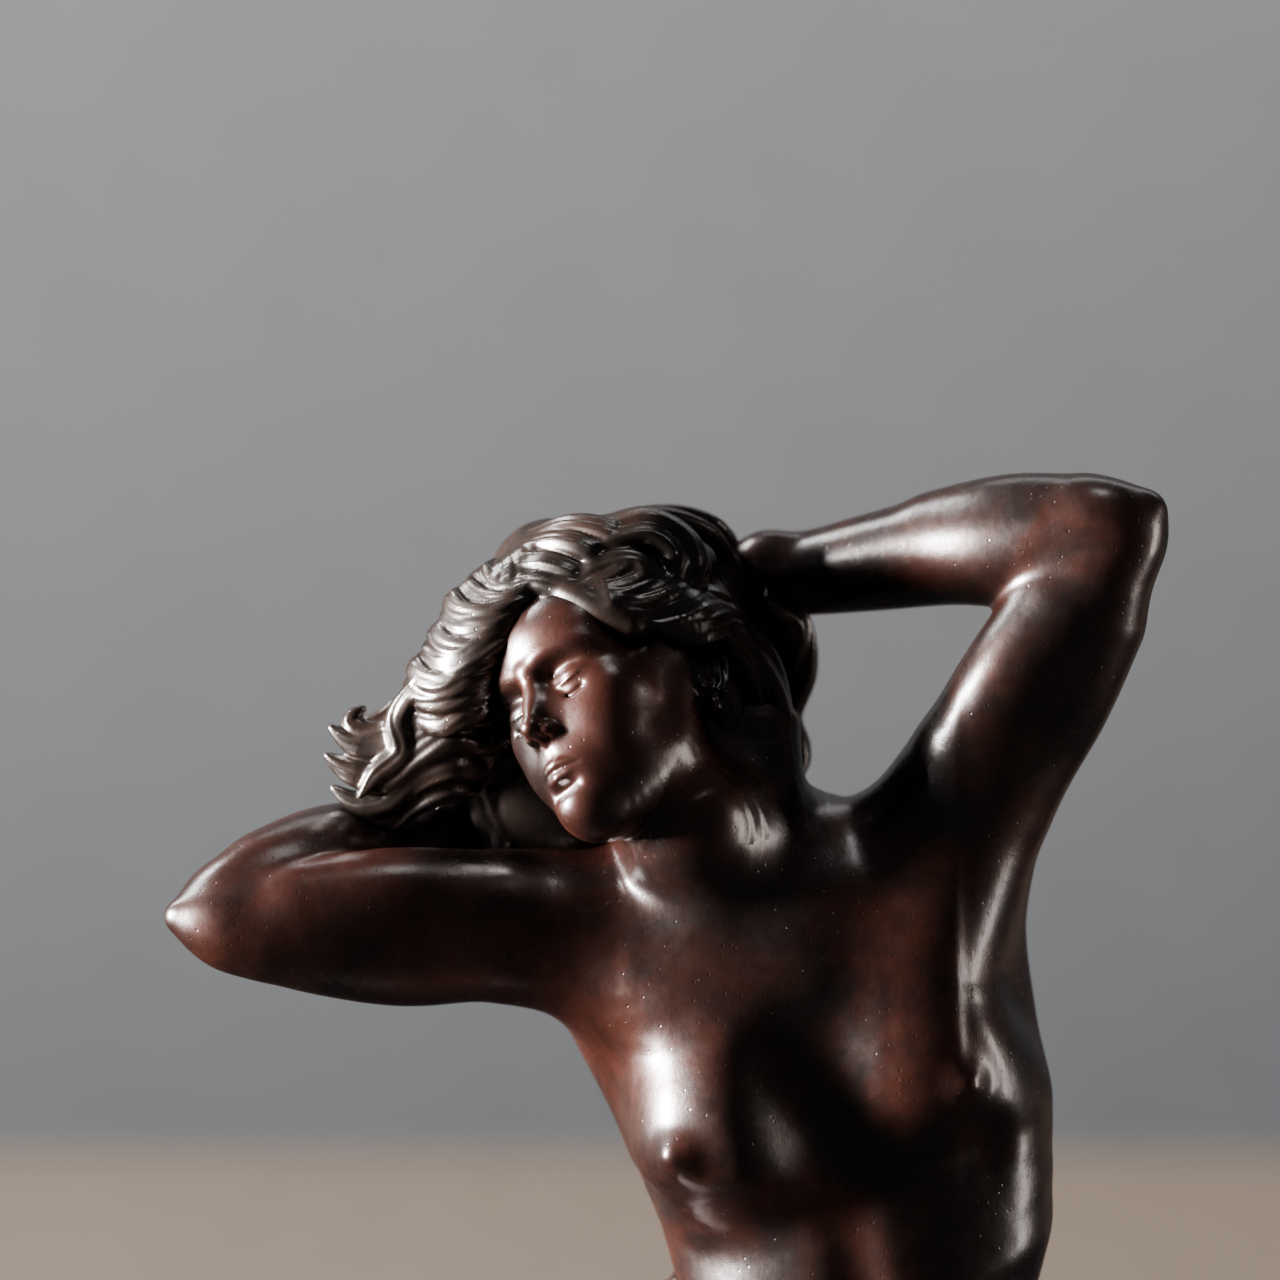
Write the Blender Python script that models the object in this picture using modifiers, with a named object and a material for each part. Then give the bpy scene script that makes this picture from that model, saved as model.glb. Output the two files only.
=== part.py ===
"""Bronze statuette: a draped standing woman with both hands in her hair, on a turned stone plinth.

The figure is cast in five sections that plug together with pinned sleeve joints. A tie rod pulls
the figure and its bronze ground down onto the plinth. Lengths below are millimetres and become
metres in at(). The part's origin is the middle of the felt's underside. The figure's own frame has the
same directions, X to the viewer's right and Y away from the viewer, with z = 0 on the ground.
"""

import math

import bmesh
import bpy
from mathutils import Euler, Matrix, Vector

MM = 0.001

# ---- driving dimensions, in millimetres ----
FIT = 0.3                 # gap between pieces that rest on or sit in each other
FELT_THICKNESS = 2.0
PLINTH_HEIGHT = 40.0
PLINTH_RADIUS = 66.0      # at its foot
GROUND_THICKNESS = 8.0
GROUND_RADIUS = 56.0
HEAD_HEIGHT = 45.0        # chin to crown

PLINTH_Z = FELT_THICKNESS + FIT
GROUND_Z = PLINTH_Z + PLINTH_HEIGHT + FIT
FIGURE_Z = GROUND_Z + GROUND_THICKNESS + FIT

ROD_RADIUS = 2.0
ROD_X, ROD_Y = 5.0, 1.0   # in the figure's frame: the axis of the rod, the plinth and the ground
ROD_GRIP = 14.0           # how far it reaches into the torso
NUT_RADIUS = 4.05         # across the corners
NUT_THICKNESS = 3.2
WASHER_RADIUS = 6.5
WASHER_THICKNESS = 1.2
COUNTERBORE_RADIUS = 9.0  # room for the nut, under the plinth
COUNTERBORE_DEPTH = 12.0
PIN_RADIUS = 1.0          # cross pins that lock the sleeve joints
PIN_LENGTH = 15.0
TENON_RADIUS = 4.5
TENON_LENGTH = 8.0
DOWEL_RADIUS = 1.5        # two dowels stop the ground turning on the plinth
DOWEL_LENGTH = 10.0
DOWEL_SPACING = 66.0
SCREW_RADIUS = 1.5        # three screws hold the drapery down on the ground
SCREW_LENGTH = 12.0
SCREW_HEAD_RADIUS = 2.8
SCREW_HEAD_HEIGHT = 2.0
LUG_RADIUS = 6.0          # the screws' bosses inside the drapery
LUG_HEIGHT = 14.0

JOINT_GAP = 0.45          # round a casting that sits against another's modelled surface
ARM_REACH = 130.0
CLAY_VOXEL = 1.1          # the grain that the modelled masses are fused at
CLAY_SMOOTHING = 6

# ---- the pose: landmarks in the figure's frame ----
HEAD_CENTRE = Vector((-27.6, -6.0, 300.2))
HEAD_TURN, HEAD_TILT, HEAD_LIFT = 41.0, 30.0, 5.0   # degrees: to her right, to her shoulder, chin up
NECK_CUT = Vector((-13.5, 2.0, 278.5))
NECK_AXIS = Vector((-0.15, 0.0, 0.99)).normalized()
RIGHT_ARM_CUT = Vector((-38.0, -2.0, 266.0))
RIGHT_ARM_AXIS = Vector((-1.0, -0.22, 0.10)).normalized()
LEFT_ARM_CUT = Vector((22.5, -1.5, 283.0))
LEFT_ARM_AXIS = Vector((0.48, -0.18, 0.86)).normalized()
TORSO_BOTTOM = 150.0      # the torso's lower end, inside the drapery

# Chains of (x, y, z, radius).
NECK = [(-9.5, 3.5, 268, 13.8), (-12, 3, 277, 12.0), (-14.5, 2.5, 286, 11.2), (-17, 1, 294, 11.2)]
SPINE = [(9, 3, 212, 17), (8, 3, 195, 19), (7, 3, 176, 20)]
RIGHT_UPPER_ARM = [
    (-30, 0, 264.0, 11.4), (-44.8, -5, 267.0, 10.2), (-59.4, -10, 267.1, 10.0),
    (-73.8, -14, 267.7, 8.7), (-85.5, -16, 268.2, 5.8), (-90.5, -17, 268.6, 3.4),
]
RIGHT_FOREARM = [
    (-90, -16.5, 268.8, 3.6), (-84.1, -14, 271.2, 6.4), (-75.8, -8, 273.2, 8.6),
    (-67.5, 0, 275.4, 8.9), (-59.0, 9, 277.4, 7.6), (-51.0, 16, 280.4, 5.9),
]
RIGHT_HAND = [(-51.0, 16, 280.4, 5.9), (-45, 20, 285, 6.2), (-38, 23, 291, 6.0), (-31, 24, 297, 4.6)]
LEFT_UPPER_ARM = [
    (18.8, 0, 275.5, 12.0), (25, -2, 287, 11.2), (31.1, -5, 297.1, 10.7),
    (39.6, -9, 312.0, 10.0), (46.6, -12, 324.6, 7.6),
]
LEFT_FOREARM = [
    (46.9, -12, 326.9, 5.8), (36.6, -9, 323.0, 9.6), (22.5, 0, 322.6, 8.9),
    (9.4, 7, 320.4, 7.6), (-1.8, 13, 319.0, 6.5),
]
LEFT_HAND = [(-1.8, 13, 319.0, 6.5), (-8, 17, 317.6, 6.4), (-14, 22, 313, 6.2), (-20, 25, 307, 4.6)]

# Masses as (centre, radii, lean in degrees about Y).
TORSO_MASSES = [
    ((3.0, 1, 243), (30, 20.5, 37), -15),        # ribcage
    ((-3, 0, 263), (29, 14, 14), -20),           # shoulder girdle
    ((22.5, 3, 252), (13.5, 14, 34), -3),        # stretched side under the left arm
    ((-23, 3, 254), (10, 11, 13), 25),           # side under the right arm
    ((9.0, 1, 213), (26, 17.5, 27), 0),          # waist
    ((7.6, 2, 176), (33, 21.5, 30), 0),          # pelvis
    ((9.0, -6, 198), (22, 13, 27), 0),           # belly
    ((-10, -13.0, 238), (13, 10.5, 13), 0),      # right breast
    ((19, -12.0, 246), (12.5, 9, 13), 0),        # left breast
]
CHEST_MUSCLES = [
    [(-10, -12, 242, 9), (-22, -8, 256, 8), (-36, -5, 264, 7)],
    [(18, -11, 250, 9), (19, -8, 262, 8.5), (22, -4, 276, 8)],
]
HEAD_MASSES = [      # in head heights, in the head's own frame
    ((0, 0.05, 0.11), (0.335, 0.42, 0.385)),     # skull
    ((0, -0.165, 0.15), (0.262, 0.245, 0.22)),   # forehead
    ((0, -0.13, -0.12), (0.255, 0.27, 0.32)),    # face
    ((0, -0.30, -0.40), (0.10, 0.12, 0.09)),     # chin
    ((0, -0.38, -0.11), (0.05, 0.08, 0.12)),     # nose
    ((0.30, 0.10, -0.08), (0.05, 0.06, 0.10)),   # left ear
]
HAIR = [
    (-13, 9, 317.5, 10.5), (-22, 4, 318.5, 11), (-31, 0, 317.5, 10.5), (-39, -3, 313.5, 10),
    (-45.5, -4, 308, 9), (-49.5, -4, 302, 8.6), (-53, -3, 295.5, 8), (-60, -4, 291.5, 6.5),
    (-66, -5, 290, 4.6),
]
HAIR_BEHIND = [
    (-20, 10, 305, 15), (-10, 14, 306, 11), (-5, 15, 300, 8), (-8, 14, 290, 6.5),
    (-22, 14, 288, 9), (-36, 12, 286, 9), (-37, 10, 277, 6),
]

# The cloth's column without its folds: (z, centre x, centre y, radius x, radius y).
SKIRT = [
    (0, 3, 2, 41, 34), (8, 3, 2, 38.5, 31.5), (35, 3.5, 1, 33, 28), (70, 4, 0, 30, 25.5),
    (100, 4.5, -0.5, 29.5, 24.5), (130, 5.5, 0, 32, 24), (155, 6.5, 1.5, 35.5, 25),
    (172, 7.5, 2.5, 37, 25.2), (190, 8, 2.5, 33, 22.5), (214, 8, 1.5, 27, 19),
]
SKIRT_WALL = 9.5
WAISTLINE = (191.0, -0.316, 0.95)   # height at the axis, and its rise per millimetre along x and y
ROLL_RADIUS = 4.4                   # the cloth rolled over at the waistline

# Her legs under the cloth: (angle, z, swell, angular spread, height spread).
LIMBS_UNDER = [
    (292, 96, 9.0, 26, 26), (298, 128, 4.5, 30, 26), (236, 120, 3.0, 26, 50), (262, 70, -5.0, 17, 55),
    (90, 172, 3.5, 60, 18),
]

# Ridges of cloth: (angle at the top, z there, angle at the foot, z there, rise, half width).
# Angles run from her left (0) round the back (90) to her right (180) and the front (270).
FOLDS = [
    (203, 190, 300, 108, 2.2, 3.4), (206, 184, 287, 84, 2.6, 3.6), (209, 177, 268, 44, 3.0, 3.8),
    (211, 171, 252, 0, 3.4, 4.2), (207, 168, 236, 0, 3.0, 4.2), (200, 172, 220, 0, 3.2, 4.4),
    (192, 176, 204, 0, 3.0, 4.2), (183, 180, 190, 0, 3.4, 4.4), (172, 184, 175, 0, 3.0, 4.2),
    (283, 92, 272, 0, 3.2, 4.2), (296, 84, 287, 0, 2.6, 4.0), (309, 90, 304, 0, 3.4, 4.2),
    (322, 120, 320, 0, 3.0, 4.2), (337, 166, 336, 0, 3.2, 4.4), (352, 172, 353, 0, 2.8, 4.2),
    (8, 178, 9, 0, 3.4, 4.6), (24, 184, 25, 0, 3.0, 4.2), (41, 190, 41, 0, 3.4, 4.4),
    (57, 196, 56, 0, 2.8, 4.2), (74, 200, 72, 0, 3.4, 4.4), (92, 204, 89, 0, 3.0, 4.2),
    (109, 204, 106, 0, 3.4, 4.4), (126, 202, 124, 0, 3.0, 4.4), (142, 198, 141, 0, 3.4, 4.4),
    (158, 192, 158, 0, 2.8, 4.2),
]

# The plinth's turned profile from its top edge down: (radius, height).
PLINTH_PROFILE = [
    (59.0, 40.0), (60.6, 39.2), (61.0, 37.9), (60.2, 36.2), (57.6, 35.6), (57.6, 34.0), (56.0, 30.0),
    (55.8, 24.0), (57.6, 18.6), (60.4, 16.0), (60.4, 14.6), (63.4, 13.4), (64.6, 10.2), (64.0, 7.2),
    (66.0, 5.8), (66.0, 0.8), (65.2, 0.0),
]


def at(x, y, z):
    """A point given in millimetres, in metres."""
    return Vector((x, y, z)) * MM


def on_figure(point):
    """A point of the figure's frame, in the part's frame and metres."""
    return (Vector(point) + Vector((-ROD_X, -ROD_Y, FIGURE_Z))) * MM


def turned_to(axis):
    """The rotation that takes +Z to axis."""
    return Vector(axis).to_track_quat("Z", "Y").to_matrix().to_4x4()


# ---- scene set-up ----

def clear_scene():
    for old in list(bpy.data.objects):
        bpy.data.objects.remove(old)


def collection(name):
    made = bpy.data.collections.new(name)
    bpy.context.scene.collection.children.link(made)
    return made


def material(name, colour, metallic, roughness):
    made = bpy.data.materials.new(name)
    made.use_nodes = True
    shader = made.node_tree.nodes["Principled BSDF"]
    shader.inputs["Base Color"].default_value = (*colour, 1)
    shader.inputs["Metallic"].default_value = metallic
    shader.inputs["Roughness"].default_value = roughness
    made.diffuse_color = (*colour, 1)
    return made


def mesh_object(name, bm, group, finish=None):
    """A new object that holds bm, with its faces pointing out."""
    bmesh.ops.recalc_face_normals(bm, faces=bm.faces)
    mesh = bpy.data.meshes.new(name)
    bm.to_mesh(mesh)
    bm.free()
    made = bpy.data.objects.new(name, mesh)
    group.objects.link(made)
    if finish:
        mesh.materials.append(finish)
    return made


def as_helper(thing):
    thing.hide_render = True
    thing.display_type = "WIRE"
    return thing


# ---- modelling in clay: overlapping masses, fused by a voxel remesh ----

def ball(bm, centre, radii, lean=0.0):
    place = Matrix.LocRotScale(Vector(centre) * MM, Euler((0, math.radians(lean), 0)), Vector(radii) * MM)
    bmesh.ops.create_icosphere(bm, subdivisions=3, radius=1, matrix=place)


def limb(bm, chain):
    """Round balls along the chain, joined by tapered tubes."""
    for x, y, z, radius in chain:
        ball(bm, (x, y, z), (radius, radius, radius))
    for start, end in zip(chain, chain[1:]):
        a, b = Vector(start[:3]), Vector(end[:3])
        place = Matrix.Translation((a + b) / 2 * MM) @ turned_to(b - a)
        bmesh.ops.create_cone(
            bm, cap_ends=True, segments=24, radius1=start[3] * MM, radius2=end[3] * MM,
            depth=(b - a).length * MM, matrix=place,
        )


def loft(bm, rings):
    """A closed skin over rings of points, lowest ring first."""
    rows = [[bm.verts.new(point) for point in ring] for ring in rings]
    for low, high in zip(rows, rows[1:]):
        for i in range(len(low)):
            j = (i + 1) % len(low)
            bm.faces.new((low[i], low[j], high[j], high[i]))
    bm.faces.new(reversed(rows[0]))
    bm.faces.new(rows[-1])


def fused(name, bm, helpers, triangles, voxel=CLAY_VOXEL, smoothing=CLAY_SMOOTHING):
    """The clay masses in bm as one skin of about that many triangles, in a helper mesh object."""
    rough = mesh_object(name + "_rough", bm, helpers)
    remesh = rough.modifiers.new("fuse", "REMESH")
    remesh.mode = "VOXEL"
    remesh.voxel_size = voxel * MM
    melt = rough.modifiers.new("melt", "SMOOTH")
    melt.factor = 0.5
    melt.iterations = smoothing
    skin = evaluated(rough)
    skin.calc_loop_triangles()
    thin = rough.modifiers.new("thin", "DECIMATE")
    thin.ratio = min(1.0, triangles / len(skin.loop_triangles))
    bpy.data.meshes.remove(skin)
    clay = bpy.data.objects.new(name, evaluated(rough))
    helpers.objects.link(clay)
    clay.matrix_world = Matrix.Translation(on_figure((0, 0, 0)))
    bpy.data.objects.remove(rough)
    return as_helper(clay)


def evaluated(thing):
    """The object's mesh with its modifiers applied."""
    bpy.context.view_layer.update()
    graph = bpy.context.evaluated_depsgraph_get()
    return bpy.data.meshes.new_from_object(thing.evaluated_get(graph), depsgraph=graph)


# ---- cutting and joining ----

def boolean(thing, other, operation):
    step = thing.modifiers.new(f"{operation.lower()} {other.name}", "BOOLEAN")
    step.operation = operation
    step.solver = "EXACT"
    step.object = other


def cylinder(name, group, base, axis, radius, length, segments=32, finish=None, end_radius=None):
    """A round bar from base along axis, in metres' frame; sizes in millimetres."""
    bm = bmesh.new()
    bmesh.ops.create_cone(
        bm, cap_ends=True, segments=segments, radius1=radius * MM,
        radius2=(radius if end_radius is None else end_radius) * MM, depth=length * MM,
        matrix=Matrix.Translation((0, 0, length * MM / 2)),
    )
    made = mesh_object(name, bm, group, finish)
    made.matrix_world = Matrix.Translation(base) @ turned_to(axis)
    return made


def bore(piece, helpers, base, axis, radius, length, segments=32):
    """Cuts a round hole of that radius from base along axis."""
    tool = cylinder(f"{piece.name}_bore_{len(piece.modifiers)}", helpers, base, axis, radius, length, segments)
    boolean(piece, as_helper(tool), "DIFFERENCE")


def boss(piece, helpers, base, axis, radius, length, segments=32):
    """Adds a round bar to the piece."""
    tool = cylinder(f"{piece.name}_boss_{len(piece.modifiers)}", helpers, base, axis, radius, length, segments)
    boolean(piece, as_helper(tool), "UNION")


def half_space(name, helpers, point, axis, size=260.0):
    """A big box whose one face passes through point, on the side that axis points to."""
    bm = bmesh.new()
    bmesh.ops.create_cube(bm, size=size * MM, matrix=Matrix.Translation((0, 0, size * MM / 2)))
    made = mesh_object(name, bm, helpers)
    made.matrix_world = Matrix.Translation(point) @ turned_to(axis)
    return as_helper(made)


def swollen(piece, helpers, name, gap):
    """The piece grown by gap all round, to cut its neighbour with."""
    grown = bpy.data.objects.new(name, evaluated(piece))
    helpers.objects.link(grown)
    grown.matrix_world = piece.matrix_world
    push = grown.modifiers.new("grow", "DISPLACE")
    push.strength = gap * MM
    push.mid_level = 0.0
    return as_helper(grown)


def casting(name, clay, parts, finish):
    made = bpy.data.objects.new(name, clay.data.copy())
    made.matrix_world = clay.matrix_world
    made.data.materials.append(finish)
    parts.objects.link(made)
    return made


# ---- the castings ----

def head_matrix():
    """The head's own frame: +X her left, -Y the way she faces, one unit high."""
    turn = Matrix.Rotation(math.radians(-HEAD_TURN), 4, "Z")
    tilt = Matrix.Rotation(math.radians(-HEAD_TILT), 4, "Y")
    lift = Matrix.Rotation(math.radians(-HEAD_LIFT), 4, "X")
    return Matrix.Translation(HEAD_CENTRE) @ turn @ tilt @ lift @ Matrix.Scale(HEAD_HEIGHT, 4)


def head_clay(helpers):
    bm = bmesh.new()
    frame = head_matrix()
    for centre, radii in HEAD_MASSES:
        place = Matrix.Scale(MM, 4) @ frame @ Matrix.LocRotScale(Vector(centre), None, Vector(radii))
        bmesh.ops.create_icosphere(bm, subdivisions=3, radius=1, matrix=place)
    for chain in (HAIR, HAIR_BEHIND, NECK, RIGHT_HAND, LEFT_HAND):
        limb(bm, chain)
    return fused("head_clay", bm, helpers, 2000)


def body_clay(helpers):
    bm = bmesh.new()
    for centre, radii, lean in TORSO_MASSES:
        ball(bm, centre, radii, lean)
    arms = (RIGHT_UPPER_ARM, RIGHT_FOREARM, LEFT_UPPER_ARM, LEFT_FOREARM)
    for chain in (NECK, SPINE, *CHEST_MUSCLES, *arms):
        limb(bm, chain)
    return fused("body_clay", bm, helpers, 3000, smoothing=10)


def waistline_z(x, y):
    level, along_x, along_y = WAISTLINE
    return level + along_x * x + along_y * y


def skirt_section(z):
    """The column's (centre x, centre y, radius x, radius y) at height z."""
    for low, high in zip(SKIRT, SKIRT[1:]):
        if z <= high[0]:
            share = (z - low[0]) / (high[0] - low[0])
            return tuple(a + (b - a) * share for a, b in zip(low[1:], high[1:]))
    return SKIRT[-1][1:]


def angle_gap(a, b):
    """The angle from b to a, in degrees, between -180 and 180."""
    return (a - b + 180) % 360 - 180


def fold_height(angle, z, radius):
    """How far the legs and the folds push the cloth out there."""
    height = 0.0
    for middle, level, swell, spread, rise in LIMBS_UNDER:
        height += swell * math.exp(-(angle_gap(angle, middle) / spread) ** 2 - ((z - level) / rise) ** 2)
    for top_angle, top, foot_angle, foot, ridge, width in FOLDS:
        if not foot - 6 <= z <= top:
            continue
        share = (top - z) / (top - foot)
        path = top_angle + angle_gap(foot_angle, top_angle) * share ** 0.8 + 2.5 * math.sin(5 * share + top)
        across = math.radians(angle_gap(angle, path)) * radius / (width * (0.7 + 0.5 * share))
        fade = min(1.0, share * 6) * (1.0 if foot == 0 else min(1.0, (1 - share) * 4))
        height += ridge * fade * (0.6 + 0.6 * share) * math.exp(-across * across)
    return height


def skirt_point(angle, z, inset=0.0, folded=True):
    cx, cy, rx, ry = skirt_section(z)
    push = fold_height(math.degrees(angle) % 360, z, (rx + ry) / 2) if folded else 0.0
    return cx + (rx + push - inset) * math.cos(angle), cy + (ry + push - inset) * math.sin(angle)


def waist_point(angle, inset=0.0):
    """A point on the sloping upper edge of the drapery."""
    z = WAISTLINE[0]
    for _ in range(8):
        x, y = skirt_point(angle, z, inset, folded=False)
        z = waistline_z(x, y)
    return x, y, z


def drapery_clay(helpers):
    bm = bmesh.new()
    levels = [-3, 0, 3] + list(range(8, 160, 6))
    upper = 8
    rings = []
    for level in levels + list(range(1, upper + 1)):
        ring = []
        for angle in even_angles(120):
            z = level
            if len(rings) >= len(levels):
                z = levels[-1] + (waist_point(angle)[2] - levels[-1]) * level / upper
            ring.append(at(*skirt_point(angle, z), z))
        rings.append(ring)
    loft(bm, rings)
    roll = [(*waist_point(angle, 0.5), ROLL_RADIUS) for angle in even_angles(40)]
    limb(bm, roll + roll[:1])
    limb(bm, [(-8, -24, 6, 6), (-10, -38, 5, 5.2), (-11, -44, 4, 3.8)])    # her right foot
    limb(bm, [(26, -22, 6, 6), (30, -34, 5, 5.2), (32, -40, 4, 3.8)])      # her left foot
    return fused("drapery_clay", bm, helpers, 3000, voxel=1.2, smoothing=3)


def figure_castings(parts, helpers, bronze):
    """Her head, torso and arms, and the drapery they stand in."""
    head = casting("head_casting", head_clay(helpers), parts, bronze)
    above_neck = half_space("above_neck", helpers, on_figure(NECK_CUT), NECK_AXIS)
    boolean(head, above_neck, "INTERSECT")
    head_room = swollen(head, helpers, "head_room", JOINT_GAP)

    body = body_clay(helpers)
    torso = casting("torso_casting", body, parts, bronze)
    boolean(torso, head_room, "DIFFERENCE")
    over_neck = half_space("over_neck", helpers, on_figure(NECK_CUT - NECK_AXIS * FIT), NECK_AXIS, 30)
    boolean(torso, over_neck, "DIFFERENCE")
    for side, cut, axis in (
        ("right", RIGHT_ARM_CUT, RIGHT_ARM_AXIS),
        ("left", LEFT_ARM_CUT, LEFT_ARM_AXIS),
    ):
        arm = casting(f"{side}_arm_casting", body, parts, bronze)
        boolean(arm, half_space(f"{side}_arm_side", helpers, on_figure(cut), axis, ARM_REACH), "INTERSECT")
        boolean(arm, head_room, "DIFFERENCE")
        joint = half_space(f"{side}_arm_joint", helpers, on_figure(cut - axis * FIT), axis, ARM_REACH)
        boolean(torso, joint, "DIFFERENCE")
        sleeve_joint(arm, torso, helpers, cut, axis)
        pin_joint(f"{side}_shoulder_pin", (arm, torso), parts, helpers, cut, axis, bronze)
    floor = half_space("torso_floor", helpers, on_figure((0, 0, TORSO_BOTTOM)), (0, 0, -1))
    boolean(torso, floor, "DIFFERENCE")
    hollow_torso(torso, helpers)
    sleeve_joint(head, torso, helpers, NECK_CUT, NECK_AXIS)
    hollow_head(head, helpers)
    pin_joint("neck_pin", (head, torso), parts, helpers, NECK_CUT, NECK_AXIS, bronze)

    drapery = casting("drapery_casting", drapery_clay(helpers), parts, bronze)
    boolean(drapery, torso_room(body, helpers, floor), "DIFFERENCE")
    below = half_space("below_ground", helpers, on_figure((0, 0, 0)), (0, 0, -1))
    boolean(drapery, below, "DIFFERENCE")
    hollow_drapery(drapery, helpers)
    waist_joint(torso, drapery, parts, helpers, bronze)
    return drapery


def sleeve_joint(plug, socket, helpers, cut, axis):
    """A round tenon under the plug's face, in a blind socket with clearance."""
    root = 1.5   # the tenon starts inside the plug, so that the two overlap
    start = on_figure(cut + axis * root)
    boss(plug, helpers, start, -axis, TENON_RADIUS, TENON_LENGTH + root)
    bore(socket, helpers, start, -axis, TENON_RADIUS + FIT, TENON_LENGTH + root + FIT * 2)


def pin_joint(name, pieces, parts, helpers, cut, axis, finish):
    """A cross pin from the back, through the sleeve and the tenon in it."""
    middle = cut - axis * TENON_LENGTH / 2
    back = Vector((0, 1, 0))
    way = (back - axis * back.dot(axis)).normalized()
    head_end = on_figure(middle + way * PIN_LENGTH * 0.6)
    cylinder(name, parts, head_end, -way, PIN_RADIUS, PIN_LENGTH, 16, finish)
    start = on_figure(middle + way * (PIN_LENGTH * 0.6 + 6))
    for piece in pieces:
        bore(piece, helpers, start, -way, PIN_RADIUS + FIT, PIN_LENGTH + 6 + FIT, 16)


def hollow_torso(torso, helpers):
    """The core's hollow, which opens into the neck socket, and the tie rod's blind hole."""
    bm = bmesh.new()
    limb(bm, [(8, 2, 187, 10), (8.5, 2, 205, 10), (4, 1, 232, 12), (-3, 1, 252, 9), (-10.5, 2.2, 271, 3.4)])
    boolean(torso, fused("torso_core", bm, helpers, 400, voxel=1.5), "DIFFERENCE")
    hole = at(0, 0, FIGURE_Z + TORSO_BOTTOM - 2)
    bore(torso, helpers, hole, (0, 0, 1), ROD_RADIUS + FIT, ROD_GRIP + 2 + FIT)


def hollow_head(head, helpers):
    """The core's hollow in the skull, which drains through the neck's tenon."""
    bm = bmesh.new()
    limb(bm, [(-22, -1, 306, 12), (-20, 1, 296, 6), (-17, 1, 290, 4)])
    boolean(head, fused("head_core", bm, helpers, 300, voxel=1.5), "DIFFERENCE")
    start = on_figure(NECK_CUT - NECK_AXIS * (TENON_LENGTH + 2))
    bore(head, helpers, start, NECK_AXIS, ROD_RADIUS, TENON_LENGTH + 14, 24)


def torso_room(body, helpers, floor):
    """The torso as one solid, grown by the joint's gap, to cut its seat in the drapery."""
    block = bpy.data.objects.new("torso_block", body.data)
    block.matrix_world = body.matrix_world
    helpers.objects.link(block)
    boolean(block, floor, "DIFFERENCE")
    return swollen(as_helper(block), helpers, "torso_room", JOINT_GAP)


def hollow_drapery(drapery, helpers):
    """The open hollow under the skirt, the screws' lugs in it and the tie rod's hole above it."""
    bm = bmesh.new()
    rings = []
    for z, wall in ((-4, 0.0), (12, 0.0), (80, 0.5), (136, 5.0)):
        ring = []
        for angle in even_angles(24):
            x, y = skirt_point(angle, max(z, 0), SKIRT_WALL + wall, folded=False)
            ring.append(on_figure((x, y, z)))
        rings.append(ring)
    loft(bm, rings)
    boolean(drapery, as_helper(mesh_object("drapery_core", bm, helpers)), "DIFFERENCE")
    for x, y in screw_places():
        boss(drapery, helpers, at(x, y, FIGURE_Z), (0, 0, 1), LUG_RADIUS, LUG_HEIGHT)
        bore(drapery, helpers, at(x, y, FIGURE_Z - 1), (0, 0, 1), SCREW_RADIUS + FIT, LUG_HEIGHT - 3, 20)
    bore(drapery, helpers, at(0, 0, FIGURE_Z + 125), (0, 0, 1), ROD_RADIUS + FIT, 40)


def screw_places():
    """The (x, y) of the drapery's three screws, in the part's frame."""
    _, cx, cy, rx, ry = SKIRT[0]
    inset = SKIRT_WALL + LUG_RADIUS - 2.5
    for turn in (90, 210, 330):
        angle = math.radians(turn)
        x, y = cx + (rx - inset) * math.cos(angle), cy + (ry - inset) * math.sin(angle)
        yield x - ROD_X, y - ROD_Y


def waist_joint(torso, drapery, parts, helpers, finish):
    """A cross pin from the back, through the drapery's seat and into the torso's lower end."""
    pin_z = TORSO_BOTTOM + 20
    end_y = skirt_section(pin_z)[1] + skirt_section(pin_z)[3] - 1
    start = Vector((ROD_X + 8, end_y, pin_z))
    way = Vector((0, -1, 0))
    cylinder("waist_pin", parts, on_figure(start), way, PIN_RADIUS, PIN_LENGTH, 16, finish)
    for piece in (torso, drapery):
        bore(piece, helpers, on_figure(start - way * 8), way, PIN_RADIUS + FIT, PIN_LENGTH + 8 + FIT, 16)


# ---- the base ----

def turned(name, parts, profile, finish, steps=56):
    """A solid of revolution about the tie rod's axis. The profile runs down the outer side."""
    mesh = bpy.data.meshes.new(name)
    outline = [(0, profile[0][1]), *profile, (0, profile[-1][1])]
    points = [at(radius, 0, height) for radius, height in outline]
    mesh.from_pydata(points, [(i, i + 1) for i in range(len(points) - 1)], [])
    made = bpy.data.objects.new(name, mesh)
    made.data.materials.append(finish)
    parts.objects.link(made)
    spin = made.modifiers.new("turn", "SCREW")
    spin.steps = steps
    spin.render_steps = steps
    spin.use_merge_vertices = True
    spin.merge_threshold = 0.00001
    spin.use_smooth_shade = True
    return made


def on_rod(height):
    return at(0, 0, height)


def build_plinth(parts, helpers, marble):
    profile = [(radius, PLINTH_Z + height) for radius, height in PLINTH_PROFILE]
    plinth = turned("plinth", parts, profile, marble)
    bore(plinth, helpers, on_rod(PLINTH_Z - 2), (0, 0, 1), ROD_RADIUS + FIT, PLINTH_HEIGHT + 4)
    bore(plinth, helpers, on_rod(PLINTH_Z - 2), (0, 0, 1), COUNTERBORE_RADIUS, COUNTERBORE_DEPTH + 2)
    return plinth


def build_felt(parts, felt):
    radius = PLINTH_RADIUS - 2
    return turned("felt_pad", parts, [(radius, FELT_THICKNESS), (radius, 0)], felt)


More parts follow.
